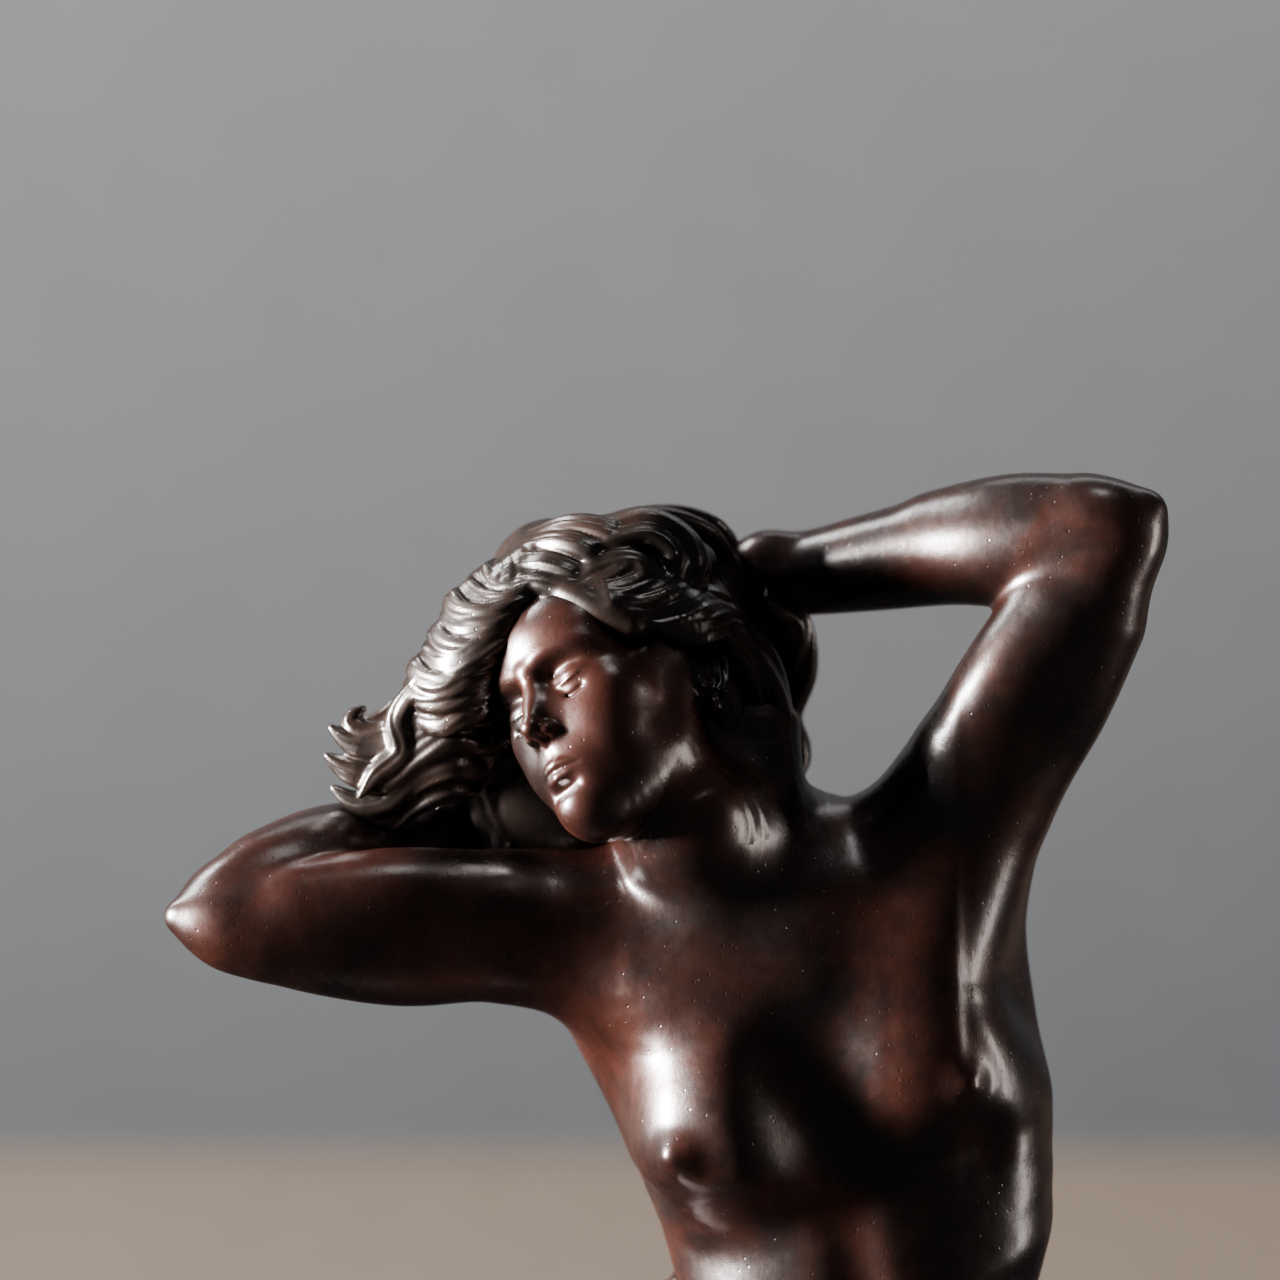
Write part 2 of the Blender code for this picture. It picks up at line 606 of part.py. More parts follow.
def build_ground(parts, helpers, bronze):
    """The bronze ground: a low plate with an uneven edge, like trodden earth."""
    bm = bmesh.new()
    rings = []
    for height, inset in ((0, 0.8), (1.0, 0), (4.5, 0.4), (6.8, 1.8), (GROUND_THICKNESS, 4.5)):
        ring = []
        for angle in even_angles(60):
            wander = 1.4 * math.sin(3 * angle + 0.6) + 0.8 * math.sin(7 * angle) + 0.4 * math.sin(13 * angle + 1)
            radius = GROUND_RADIUS - 2.6 + wander - inset
            ring.append(at(radius * math.cos(angle), radius * math.sin(angle), height))
        rings.append(ring)
    loft(bm, rings)
    ground = mesh_object("ground_casting", bm, parts, bronze)
    ground.location = on_rod(GROUND_Z)
    bore(ground, helpers, on_rod(GROUND_Z - 2), (0, 0, 1), ROD_RADIUS + FIT, GROUND_THICKNESS + 4)
    return ground


def build_tie_rod(parts, steel):
    """The rod from the torso down into the plinth's counterbore, with its washer and nut."""
    seat = PLINTH_Z + COUNTERBORE_DEPTH
    washer_z = seat - FIT - WASHER_THICKNESS
    nut_z = washer_z - FIT - NUT_THICKNESS
    foot = nut_z - 2
    top = FIGURE_Z + TORSO_BOTTOM + ROD_GRIP
    cylinder("tie_rod", parts, on_rod(foot), (0, 0, 1), ROD_RADIUS, top - foot, 32, steel)
    for name, base, radius, height, sides in (
        ("tie_rod_washer", washer_z, WASHER_RADIUS, WASHER_THICKNESS, 40),
        ("tie_rod_nut", nut_z, NUT_RADIUS, NUT_THICKNESS, 6),
    ):
        ring = ring_mesh(radius, ROD_RADIUS + FIT, height, sides)
        made = mesh_object(name, ring, parts, steel)
        made.location = on_rod(base)


def ring_mesh(outer, inner, height, sides):
    """A flat ring with that many outer sides and a round bore, its underside at z = 0."""
    bm = bmesh.new()
    bore_steps = 24 if sides == 6 else sides
    step = bore_steps // sides
    levels = []
    for z in (0, height):
        rim = [at(outer * math.cos(a), outer * math.sin(a), z) for a in even_angles(sides)]
        hole = [at(inner * math.cos(a), inner * math.sin(a), z) for a in even_angles(bore_steps)]
        levels.append(([bm.verts.new(p) for p in rim], [bm.verts.new(p) for p in hole]))
    for rim, hole in levels:
        for i in range(sides):
            arc = [hole[(i * step + k) % bore_steps] for k in range(step, -1, -1)]
            bm.faces.new([rim[i], rim[(i + 1) % sides], *arc])
    for low, high in zip(levels[0], levels[1]):
        for i in range(len(low)):
            j = (i + 1) % len(low)
            bm.faces.new((low[i], low[j], high[j], high[i]))
    return bm


def even_angles(count):
    return [2 * math.pi * i / count for i in range(count)]


def locate_ground(plinth, ground, parts, helpers, steel):
    for index, side in enumerate((-1, 1), 1):
        x = side * DOWEL_SPACING / 2
        base = GROUND_Z - DOWEL_LENGTH / 2
        cylinder(f"locating_pin_{index}", parts, at(x, 0, base), (0, 0, 1), DOWEL_RADIUS, DOWEL_LENGTH, 20, steel)
        for piece in (plinth, ground):
            start = at(x, 0, base - FIT)
            bore(piece, helpers, start, (0, 0, 1), DOWEL_RADIUS + FIT, DOWEL_LENGTH + FIT * 2, 20)


def screw_drapery(ground, parts, helpers, steel):
    """Cap screws from under the ground, their heads sunk in it, up into the drapery's lugs."""
    head_z = GROUND_Z + 0.5
    for index, (x, y) in enumerate(screw_places(), 1):
        name = f"drapery_screw_{index}"
        screw = cylinder(name, parts, at(x, y, head_z), (0, 0, 1), SCREW_HEAD_RADIUS, SCREW_HEAD_HEIGHT, 20, steel)
        boss(screw, helpers, at(x, y, head_z + 1), (0, 0, 1), SCREW_RADIUS, SCREW_LENGTH, 20)
        sink = SCREW_HEAD_HEIGHT + FIT + 0.5
        bore(ground, helpers, at(x, y, GROUND_Z - 1), (0, 0, 1), SCREW_HEAD_RADIUS + FIT, sink + 1, 20)
        bore(ground, helpers, at(x, y, GROUND_Z - 1), (0, 0, 1), SCREW_RADIUS + FIT, GROUND_THICKNESS + 2, 20)


def shade_round(parts):
    for piece in parts.objects:
        piece.data.shade_smooth()
        piece.data.set_sharp_from_angle(angle=math.radians(40))


def build():
    clear_scene()
    parts = collection("bronze_statuette")
    helpers = collection("cutters")
    bronze = material("patinated_bronze", (0.07, 0.03, 0.022), 0.85, 0.32)
    ground_bronze = material("ground_bronze", (0.06, 0.027, 0.02), 0.8, 0.4)
    marble = material("black_marble", (0.02, 0.02, 0.022), 0.0, 0.18)
    felt = material("green_felt", (0.03, 0.07, 0.045), 0.0, 0.95)
    steel = material("zinc_plated_steel", (0.45, 0.45, 0.46), 1.0, 0.35)
    figure_castings(parts, helpers, bronze)
    ground = build_ground(parts, helpers, ground_bronze)
    plinth = build_plinth(parts, helpers, marble)
    build_felt(parts, felt)
    build_tie_rod(parts, steel)
    locate_ground(plinth, ground, parts, helpers, steel)
    screw_drapery(ground, parts, helpers, steel)
    shade_round(parts)


build()
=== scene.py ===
"""Looks for the bronze statuette: the modelled figure, its base, their materials, light and camera.

The figure is modelled as distance fields ("clay") on grids: masses are added with soft joins, hollows
are pressed in, and the zero level is skinned. Lengths are millimetres in the figure's own frame, whose
z = 0 is the ground under her feet; FIGURE puts that frame on the CAD. A plan has one tool a line: the
tool, its blend, "cut" and turns such as y-15, a colon, and rows of numbers. blob and mass take a centre
and half sizes, and limb, bend and cord take (x, y, z, radius) rows, bend and cord with a smooth path
through them. mass and cord work in the head's frame, and masses and cords on both sides of the face.
"""

import math

import bpy
import numpy as np
from mathutils import Matrix, Vector, noise


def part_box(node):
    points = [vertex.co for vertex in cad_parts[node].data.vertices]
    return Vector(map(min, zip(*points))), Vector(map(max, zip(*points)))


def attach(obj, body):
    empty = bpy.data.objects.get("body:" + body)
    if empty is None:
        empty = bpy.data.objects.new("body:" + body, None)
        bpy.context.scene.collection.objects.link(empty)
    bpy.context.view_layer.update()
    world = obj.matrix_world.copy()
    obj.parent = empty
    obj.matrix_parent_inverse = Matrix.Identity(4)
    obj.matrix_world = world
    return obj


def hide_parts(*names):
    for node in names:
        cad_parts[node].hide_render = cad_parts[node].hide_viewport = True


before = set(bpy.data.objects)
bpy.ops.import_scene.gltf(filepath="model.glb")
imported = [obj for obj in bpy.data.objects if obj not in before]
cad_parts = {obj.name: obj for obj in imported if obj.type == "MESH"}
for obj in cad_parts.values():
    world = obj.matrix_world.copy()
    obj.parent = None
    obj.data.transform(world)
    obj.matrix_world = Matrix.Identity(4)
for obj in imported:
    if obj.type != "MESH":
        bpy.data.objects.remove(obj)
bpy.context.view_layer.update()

MM = 0.001
FINE = 1.0
BODY_STEP, HEAD_STEP, HAIR_STEP, FOOT_STEP = (step * FINE for step in (0.53, 0.26, 0.33, 0.42))
FAR = 9.0  # what the field holds where no clay is near

rod_low, rod_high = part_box("tie_rod")
ROD_IN_FIGURE = Vector((5.0, 1.0))  # where the tie rod stands in the figure's frame
FIGURE = Vector((
    (rod_low.x + rod_high.x) / 2 - ROD_IN_FIGURE.x * MM,
    (rod_low.y + rod_high.y) / 2 - ROD_IN_FIGURE.y * MM,
    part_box("drapery_casting")[0].z,
))


def on_figure(x, y, z):
    """A point of the figure's frame, in metres."""
    return FIGURE + Vector((x, y, z)) * MM


def vec(*values):
    return np.array(values, float)


def rows(text):
    return [vec(*map(float, row.split())) for row in text.split(",")]


def turned(words):
    """The rotation that words such as "z-41 y-30" describe."""
    turn = np.eye(3)
    for word in words.split():
        turn = turn @ np.array(Matrix.Rotation(math.radians(float(word[1:])), 3, word[0].upper()))
    return turn


def unit(way, tiny=0.0):
    return way / (np.linalg.norm(way, axis=-1, keepdims=True) + tiny)


def dot(p, way):
    return p[0] * way[0] + p[1] * way[1] + p[2] * way[2]


def smooth_path(points, steps=10):
    """The (x, y, z, radius) points with Catmull-Rom points between them."""
    points = np.array(points, float)
    ends = np.vstack([2 * points[0] - points[1], points, 2 * points[-1] - points[-2]])
    path = []
    for a, b, c, d in zip(ends, ends[1:], ends[2:], ends[3:]):
        for i in range(steps):
            t = i / steps
            path.append(0.5 * (2 * b + (c - a) * t + (2 * a - 5 * b + 4 * c - d) * t ** 2
                               + (3 * b - a - 3 * c + d) * t ** 3))
    path = np.array(path + [points[-1]])
    path[:, 3] = np.maximum(path[:, 3], 0.05)
    return path


def smooth_line(points, steps):
    """A smooth path through (x, y, z) points."""
    return smooth_path([(*p, 1) for p in points], steps)[:, :3]


def soft_min(a, b, blend):
    if blend <= 0:
        return np.minimum(a, b)
    h = np.maximum(blend - np.abs(a - b), 0) / blend
    return np.minimum(a, b) - h * h * blend / 4


def tube(a, b, grid):
    """The distance to a tapered tube between two (x, y, z, radius) points."""
    way = b[:3] - a[:3]
    p = [grid[i] - a[i] for i in range(3)]
    t = np.clip(dot(p, way) / (float(way @ way) + 1e-9), 0, 1)
    gap = sum((p[i] - t * way[i]) ** 2 for i in range(3))
    return np.sqrt(gap) - (a[3] + (b[3] - a[3]) * t)


# ---- the head's frame: sizes in head heights, +X her left, -Y the way she faces ----

HEAD_HEIGHT = 45.0
HEAD_CENTRE = vec(-27.6, -6.0, 300.2)
HEAD_TURN = turned("z-41 y-30 x-5")
SCALP_CENTRE, SCALP_RADII = vec(0, 0.05, 0.11), vec(0.335, 0.42, 0.385)


def in_head(x, y, z):
    return HEAD_CENTRE + HEAD_TURN @ vec(x, y, z) * HEAD_HEIGHT


class Clay:
    """A block of clay between two corners. Each tool works in a window round its own shape."""

    def __init__(self, low, high, step):
        self.low, self.step = vec(*low), step
        count = np.ceil((vec(*high) - self.low) / step).astype(int) + 1
        self.field = np.full(count, FAR, np.float32)

    def window(self, low, high):
        first = np.maximum(np.floor((low - self.low) / self.step).astype(int), 0)
        last = np.minimum(np.ceil((high - self.low) / self.step).astype(int) + 1, self.field.shape)
        if np.any(last <= first):
            return None, None, None
        axes = [
            (self.low[i] + self.step * np.arange(first[i], last[i])).astype(np.float32)
            for i in range(3)
        ]
        view = self.field[first[0]:last[0], first[1]:last[1], first[2]:last[2]]
        return view, np.meshgrid(*axes, indexing="ij", sparse=True), first

    def join(self, view, other, blend, cut):
        view[...] = -soft_min(-view, other, blend) if cut else soft_min(view, other, blend)

    def blob(self, centre, radii, turn=None, blend=0.0, cut=False):
        """An ellipsoid."""
        centre, radii = vec(*centre), vec(*radii)
        turn = np.eye(3) if turn is None else turn
        reach = np.abs(turn) @ radii
        pad = blend + 2.5 * self.step
        view, grid, _ = self.window(centre - reach - pad, centre + reach + pad)
        if view is None:
            return
        p = [grid[i] - centre[i] for i in range(3)]
        near = far = 0
        for i in range(3):
            along = dot(p, turn[:, i])
            near = near + (along / radii[i]) ** 2
            far = far + (along / radii[i] ** 2) ** 2
        near = np.sqrt(near)
        self.join(view, near * (near - 1) / np.maximum(np.sqrt(far), 1e-6), blend, cut)

    def strand(self, path, sizes, gap, blend, cut=False):
        """Joins the smallest of what gap(step, grid) makes along the path; sizes say how far it reaches."""
        pad = blend + 2.5 * self.step
        reach = sizes.max() + pad
        view, _, origin = self.window(path.min(0) - reach, path.max(0) + reach)
        if view is None:
            return
        whole = np.full(view.shape, FAR, np.float32)
        for i, (a, b) in enumerate(zip(path, path[1:])):
            big = max(sizes[i], sizes[i + 1]) + pad
            _, grid, first = self.window(np.minimum(a, b) - big, np.maximum(a, b) + big)
            if grid is None:
                continue
            near = tuple(slice(n, n + axis.size) for n, axis in zip(first - origin, grid))
            whole[near] = np.minimum(whole[near], gap(i, grid))
        self.join(view, whole, blend, cut)

    def limb(self, points, blend=0.0, cut=False):
        """A round tube through (x, y, z, radius) points."""
        points = np.array(points, float)
        self.strand(points[:, :3], points[:, 3], lambda i, grid: tube(points[i], points[i + 1], grid), blend, cut)

    def mass(self, centre, radii, blend, cut=False):
        self.blob(in_head(*centre), vec(*radii) * HEAD_HEIGHT, HEAD_TURN, blend * HEAD_HEIGHT, cut)

    def cord(self, points, blend, cut=False):
        path = smooth_path([(*in_head(x, y, z), radius * HEAD_HEIGHT) for x, y, z, radius in points], 5)
        self.limb(path, blend * HEAD_HEIGHT, cut)

    def follow(self, plan):
        for line in filter(None, plan.replace(",\n", ",").splitlines()):
            words, numbers = line.split("#")[0].split(":")
            tool, blend, *rest = words.split()
            shape, blend, cut = rows(numbers), float(blend), "cut" in rest
            for side in (-1, 1) if tool in ("masses", "cords") else (1,):
                if tool == "blob":
                    turn = turned(" ".join(word for word in rest if word != "cut"))
                    self.blob(*shape, turn, blend, cut)
                elif tool in ("limb", "bend"):
                    self.limb(smooth_path(shape) if tool == "bend" else shape, blend, cut)
                elif tool in ("mass", "masses"):
                    self.mass(shape[0] * vec(side, 1, 1), shape[1], blend, cut)
                else:
                    self.cord([row * vec(side, 1, 1, 1) for row in shape], blend, cut)

    def lock(self, path, width, thick, fibres, blend=0.5, middle=None, twist=0.0):
        """A flat lock along the path, ribbed lengthwise; width and thick are half sizes along it."""
        path = np.array(path, float)
        count = len(path)
        along = unit(np.gradient(path, axis=0), 1e-9)
        out = path - (HEAD_CENTRE if middle is None else middle)
        out = unit(out - along * (out * along).sum(1, keepdims=True), 1e-9)
        across = np.cross(along, out)
        phase = path[0].sum() + twist * np.linspace(0, 2 * math.pi, count)

        def gap(i, grid):
            way = path[i + 1] - path[i]
            p = [grid[k] - path[i][k] for k in range(3)]
            t = np.clip(dot(p, way) / (way @ way + 1e-9), 0, 1)
            p = [p[k] - t * way[k] for k in range(3)]
            h = thick[i] + (thick[i + 1] - thick[i]) * t
            u = dot(p, across[i]) / (width[i] + (width[i + 1] - width[i]) * t)
            v, s = dot(p, out[i]) / h, dot(p, along[i]) / h
            rib = np.cos(fibres * 3.1 * u + phase[i]) * 0.5 + 0.28 * np.cos(fibres * 5.9 * u + 1.7 * phase[i] + 1)
            return (np.sqrt(u * u + v * v + s * s) - (1.0 + 0.115 * rib * np.minimum(1, h))) * h

        self.strand(path, width, gap, blend)

    def melt(self, passes):
        """Softens the whole block by about one grid step a pass."""
        for _ in range(passes):
            for axis in range(3):
                field = np.moveaxis(self.field, axis, 0)
                field[1:-1] = field[1:-1] * 0.5 + (field[:-2] + field[2:]) * 0.25

    def skin(self):
        """Vertices and quads of the zero level, by surface nets."""
        inside = self.field < 0
        total = np.zeros((*(n - 1 for n in inside.shape), 3), np.float32)
        count = np.zeros(total.shape[:3], np.float32)
        halves = slice(0, -1), slice(1, None)

        def crossings(axis, others):
            """The slices before and after each step along the axis, and where the sign changes."""
            low, high = [others] * 3, [others] * 3
            low[axis], high[axis] = halves
            low, high = tuple(low), tuple(high)
            return low, high, inside[low] != inside[high]

        for axis in range(3):
            u, v = (i for i in range(3) if i != axis)
            low, high, crossed = crossings(axis, slice(None))
            a, b = self.field[low], self.field[high]
            share = np.where(crossed, a / np.where(crossed, a - b, 1), 0)
            for du, dv in np.ndindex(2, 2):
                pick = [slice(None)] * 3
                pick[u], pick[v] = halves[du], halves[dv]
                hit = crossed[tuple(pick)]
                count += hit
                total[..., axis] += share[tuple(pick)]
                total[..., u] += hit * du
                total[..., v] += hit * dv
        used = count > 0
        index = np.full(used.shape, -1, np.int64)
        index[used] = np.arange(int(used.sum()))
        corner = np.stack(np.nonzero(used), 1)
        points = (corner + total[used] / count[used][:, None]) * self.step + self.low
        quads = []
        for axis in range(3):
            u, v = (i for i in range(3) if i != axis)
            low, _, crossed = crossings(axis, slice(1, -1))
            at = np.stack(np.nonzero(crossed), 1)
            outward = inside[low][crossed]
            ring = []
            for du, dv in ((0, 0), (1, 0), (1, 1), (0, 1)):
                cell = at.copy()
                cell[:, u] += du
                cell[:, v] += dv
                ring.append(index[tuple(cell.T)])
            face = np.stack(ring, 1)
            backward = outward if axis == 1 else ~outward
            face[backward] = face[backward][:, ::-1]
            quads.append(face)
        return points, np.concatenate(quads)

    def slope(self, points):
        """Unit normals of the field at the points, by trilinear differences."""
        place = (points - self.low) / self.step

        def value(p):
            p = np.clip(p, 0, np.array(self.field.shape) - 1.001)
            base = p.astype(int)
            f = p - base
            return sum(
                np.prod(np.where(corner, f, 1 - f), 1) * self.field[tuple((base + corner).T)]
                for corner in np.ndindex(2, 2, 2)
            )

        normals = np.stack([value(place + d) - value(place - d) for d in np.eye(3) * 0.8], 1)
        return normals / np.maximum(np.linalg.norm(normals, axis=1, keepdims=True), 1e-9)


def mesh_piece(name, points, quads, node, slot="figure_bronze", finish=None):
    """A smooth-shaded piece from figure-frame points, in the place of the CAD node."""
    used = np.zeros(len(points), bool)
    used[quads.ravel()] = True
    renumber = np.cumsum(used) - 1
    points, quads = points[used], renumber[quads]
    mesh = bpy.data.meshes.new(name)
    mesh.vertices.add(len(points))
    mesh.vertices.foreach_set("co", (points * MM + np.array(FIGURE)).astype(np.float32).ravel())
    mesh.loops.add(quads.size)
    mesh.loops.foreach_set("vertex_index", quads.ravel().astype(np.int32))
    mesh.polygons.add(len(quads))
    mesh.polygons.foreach_set("loop_start", np.arange(0, quads.size, quads.shape[1], dtype=np.int32))
    mesh.update(calc_edges=True)
    mesh.validate()
    mesh.shade_smooth()
    mesh.materials.append(finish or BRONZE)
    piece = bpy.data.objects.new(name, mesh)
    bpy.context.scene.collection.objects.link(piece)
    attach(piece, "root")
    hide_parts(node)
    return mesh


def skinned(name, points, quads, normals, node, finish=None):
    """A part of a skin that is shaded with the whole skin's normals, so that no seam shows."""
    mesh = mesh_piece(name, points, quads, node, finish=finish)
    mesh.normals_split_custom_set_from_vertices(normals[np.unique(quads)].tolist())


def sliced(names, axis, points, quads, normals, node, finish=None):
    """A skin cut across an axis into slices of as many faces, as an export takes only so many in one."""
    order = np.argsort(points[quads].mean(1)[:, axis], kind="stable")
    for name, slab in zip(names, np.array_split(order, len(names))):
        skinned(name, points, quads[np.sort(slab)], normals, node, finish)


# ---- her torso and arms ----

NECK_CUT, NECK_AXIS = vec(-13.5, 2.0, 278.5), vec(-0.15, 0.0, 0.99)
NECK_ROOM = vec(-29.5, -33, 262), vec(3, 17, 337)  # what is above the cut in here is the head casting's
HEAD_ROOM = vec(-58, -33, 262), vec(14, 24, 337)
RIGHT_ARM_CUT, RIGHT_ARM_AXIS = vec(-38.0, -2.0, 266.0), vec(-1.0, -0.22, 0.10)
LEFT_ARM_CUT, LEFT_ARM_AXIS = vec(22.5, -1.5, 283.0), vec(0.48, -0.18, 0.86)

TORSO = """
blob 0 y-15 z-8: 2.5 1 243, 29 19.5 40  # ribcage
blob 12 y-20: -4 0.5 262.5, 27 13 14  # shoulder girdle
blob 14: 9.2 0.5 212, 25 17 27  # waist
blob 14: 7.6 2 176, 33 21.5 31  # pelvis
blob 12: 9 -6.5 197, 21 12.5 25  # belly
bend 9: 27 8 228 8, 27.5 6 245 9, 25.5 4.5 262 9, 25 2 277 9
limb 9: 28 -2 222 7, 28.5 -3 240 7.5  # flank
bend 8: -14 9 232 8, -20 8 244 8.5, -27 5 256 8.5
blob 7 y-25: -17 12.5 255, 10 6.5 13  # shoulder blades
blob 7 y20: 14 12.5 262, 10 6.5 13
bend 8 cut: -9 17.5 266 1.6, -2 21 246 2.2, 5 20 222 2.2, 8 19 200 2  # spine
"""
CHEST = """
bend 9: -8 -10 246 8.5, -19 -8 256 8.5, -30 -5 262.5 7.5, -42 -4 266 6
bend 9: 16 -8.5 252 8, 19.5 -7 264 8, 23 -4.5 277 7.5, 27 -5 288 6
blob 8 z-30 x8: -11.2 -12.6 237.2, 13.6 12.6 12.6
blob 8 z24 x10: 19.4 -9.8 244.6, 12.2 10.6 11.2
"""
BELLY = """
bend 10 cut: -2 -26.5 247 4, 3 -27.5 238 5, 5.5 -27 230 4  # between the breasts
bend 7 cut: 6.5 -22 223 0.5, 8.4 -22.2 211 0.6, 9.3 -22.6 201 0.5  # middle of the belly
blob 2 cut: 9.4 -20.6 196.5, 1.3 2.2 1.8  # navel
"""
LEFT_CREASE = """
bend 8 cut: 14 -22.5 233 0.3, 21 -21.4 232.8 0.5, 27 -17.8 234 0.3  # crease under her left breast
"""
NECK = """
bend 13: -8 3 260 16, -10.4 2.6 270 13.8, -13 2.2 280 11.9, -16 1.5 294 11.2
limb 9: -8 6.5 276 8, 8 4 275 7, 20 2 280 6.5  # trapezius
limb 9: -12 6 276 8, -24 3 269.5 7, -34 0 268 6
bend 4: -15.6 -12 265.6 1.5, -22 -11.2 266.7 1.7, -28 -8 268.6 1.6, -35 -6 270.5 1
bend 4: -10.6 -12.2 266.2 1.5, -4 -11.8 267.6 1.8, 5 -9.2 271 1.7, 13 -7 276.5 1
bend 8: -12.4 -11.6 267.4 1.8, -8.6 -9.6 276 2.8, -5.4 -6.6 286 3.4, -4.6 -2.5 296 3.6
bend 8: -15.2 -11.2 268.2 1.6, -20.6 -8.6 275 2.1, -24.4 -3 284 2.4
"""
RIGHT_SHOULDER = """
bend 5: -29 0 263.5 11, -37 -2 266 11, -46 -5.5 267.2 10, -59 -10 267.2 9.6, -73 -13.8 267.5 8.3,
    -83.5 -15.8 267.8 6.2
"""
RIGHT_ARM = """
bend 5: -44 -2 262.8 6.5, -58 -7 262 7.2, -70 -11.5 263.2 6.2, -82 -15 265.4 4.2
bend 5: -46 -9 271 5, -60 -13 271.5 6.2, -74 -15.5 270.8 4.4  # biceps
bend 4: -80 -15.2 266.6 5.4, -86.5 -16.6 267.6 4.5, -91 -17 268.6 2.7
blob 3: -86.5 -12.5 270.8, 4.6 4.4 4.6
bend 1.6: -87 -14.5 269.8 4.6, -82.5 -12.5 271.8 6.6, -75 -7.5 273.6 8.3, -67 0.5 275.6 8.3, -59 9 277.8 7,
    -52.5 15 279.8 5.4, -48.5 18.5 282.4 5
bend 4: -80 -9 275.5 4, -72 -2 278.2 5, -63 7 279.8 3.6
"""
LEFT_ARM = """
bend 6: 19.5 0 274 11.5, 24.5 -2 285 11.2, 31.1 -5 297.1 10.3, 36.2 -7.4 306 10, 41.2 -10 315.2 9, 45.4 -11.6 323 7.2
bend 5: 31 -3 286 6, 38.2 -6 298.5 6.6, 44.5 -9.5 311 5.4  # triceps
bend 5: 24 -9 294 5, 30 -12 304 5.8, 36 -13 313 4.6  # biceps
bend 4: 44 -11.5 319 6.2, 47.4 -12.4 324.4 5.6, 50.4 -13 328 3.2
blob 4: 43 -13.6 327.6, 5.6 4.6 4.8
bend 2.5: 45 -11.5 326.4 5.6, 39 -10 324.4 8, 31 -5.5 323.2 9, 22 0.5 322.6 8.4, 12 6 320.9 7.5, 3 10.8 319.4 6.6,
    -4 14 318.8 6.2, -8 16 317.6 5.6
bend 4: 41 -10 328.6 4.2, 31 -5 328.6 4.6, 21 1 326.6 3.8
bend 3: -2 10.5 322.6 1.6, -3.4 11.2 323 1.9, -5 12 322.8 1.6
"""


def body_clay():
    clay = Clay((-97, -33, 148), (60, 34, 337), BODY_STEP)
    clay.follow(TORSO + NECK + SKULL)
    view, grid, _ = clay.window(*HEAD_ROOM)
    above = 2.5 - dot([grid[i] - NECK_CUT[i] for i in range(3)], NECK_AXIS)
    aside = np.maximum(grid[0] - NECK_ROOM[1][0], 279.5 - grid[2] + 0 * grid[0])
    inner = np.maximum(above, grid[0] - NECK_ROOM[1][0])
    clay.join(view, np.where(grid[0] > NECK_ROOM[0][0], inner, aside), 0, True)
    clay.follow(RIGHT_SHOULDER + RIGHT_ARM)
    hand(clay, (-48.5, 18.5, 282.6), (0.66, 0.30, 0.69), (0.42, -0.88, -0.02), 1)
    clay.follow(LEFT_ARM)
    hand(clay, (-4, 14, 319.2), (-0.80, 0.34, -0.50), (0.30, 0.94, 0.16), -1)
    chest(clay)
    clay.melt(2)
    return clay


def chest(clay):
    clay.follow(CHEST)
    for centre, way in (((-19.0, -23.3, 234.4), (-0.58, -0.81, -0.05)), ((23.4, -20.0, 244.4), (0.40, -0.91, 0.0))):
        centre, way = vec(*centre), vec(*way)
        clay.blob(centre - way * 1.6, (3.1, 3.1, 3.1), blend=2.5)
        clay.blob(centre + way * 0.9, (1.1, 1.1, 1.1), blend=1.4)
    clay.follow(BELLY)
    for lift, out, width in ((0, 0, 2.1), (-6.2, 0.6, 2.3), (-12.6, 1.0, 2.2)):  # ribs under her left breast
        clay.limb(smooth_path([
            (13, -15.6, 226.5 + lift, 0.8), (21 + out, -14.0, 229 + lift, width),
            (28.5 + out, -9.5, 232 + lift, width + 0.3), (32.4 + out, -2, 235.5 + lift, width),
            (32.4 + out, 5, 238 + lift, 1.0),
        ]), blend=4.5)
    for level in range(3):  # ribs on her right
        z = 224 + level * 6.5
        x = -15.0 - level * 2.8
        points = (x + 1.5, -9.5, z - 1.4, 0.8), (x - 1.0, -4, z, 1.3), (x - 2.2, 2, z + 3, 0.8)
        clay.limb(smooth_path(points), blend=4.5)
    clay.follow(LEFT_CREASE)


def hand(clay, wrist, way, back, side):
    """A hand that lies along way with its back turned to back, the fingers spread a little."""
    wrist, way, back = vec(*wrist), unit(vec(*way)), vec(*back)
    back = unit(back - way * (back @ way))
    across = np.cross(way, back) * side

    def spot(along, over, up, radius):
        return (*(wrist + way * along + across * over + back * up), radius)

    for over, width in ((-3.6, 3.2), (-1.2, 3.5), (1.2, 3.5), (3.4, 3.1)):
        palm = spot(0, over * 0.45, 0, 4.2), spot(7, over * 0.95, 0.4, width), spot(13, over * 1.35, 0.6, width * 0.78)
        clay.limb(palm, blend=3)
    for index, (over, length) in enumerate(((-5.6, 12.5), (-1.9, 15.0), (1.9, 14.6), (5.4, 11.6))):
        knuckle = spot(13, over * 0.98, 0.9, 2.5)
        middle = spot(13 + length * 0.48, over * 1.16, 0.4, 2.1)
        tip = spot(13 + length * 0.92, over * 1.22, -3.2 - index * 0.2, 1.55)
        clay.limb(smooth_path([knuckle, middle, tip], 4), blend=1.2)
    thumb = spot(2, -4, 0, 3.2), spot(8, -8.2, -1.6, 2.7), spot(15, -10.4, -3.4, 2.0)
    clay.limb(smooth_path(thumb, 4), blend=2.5)


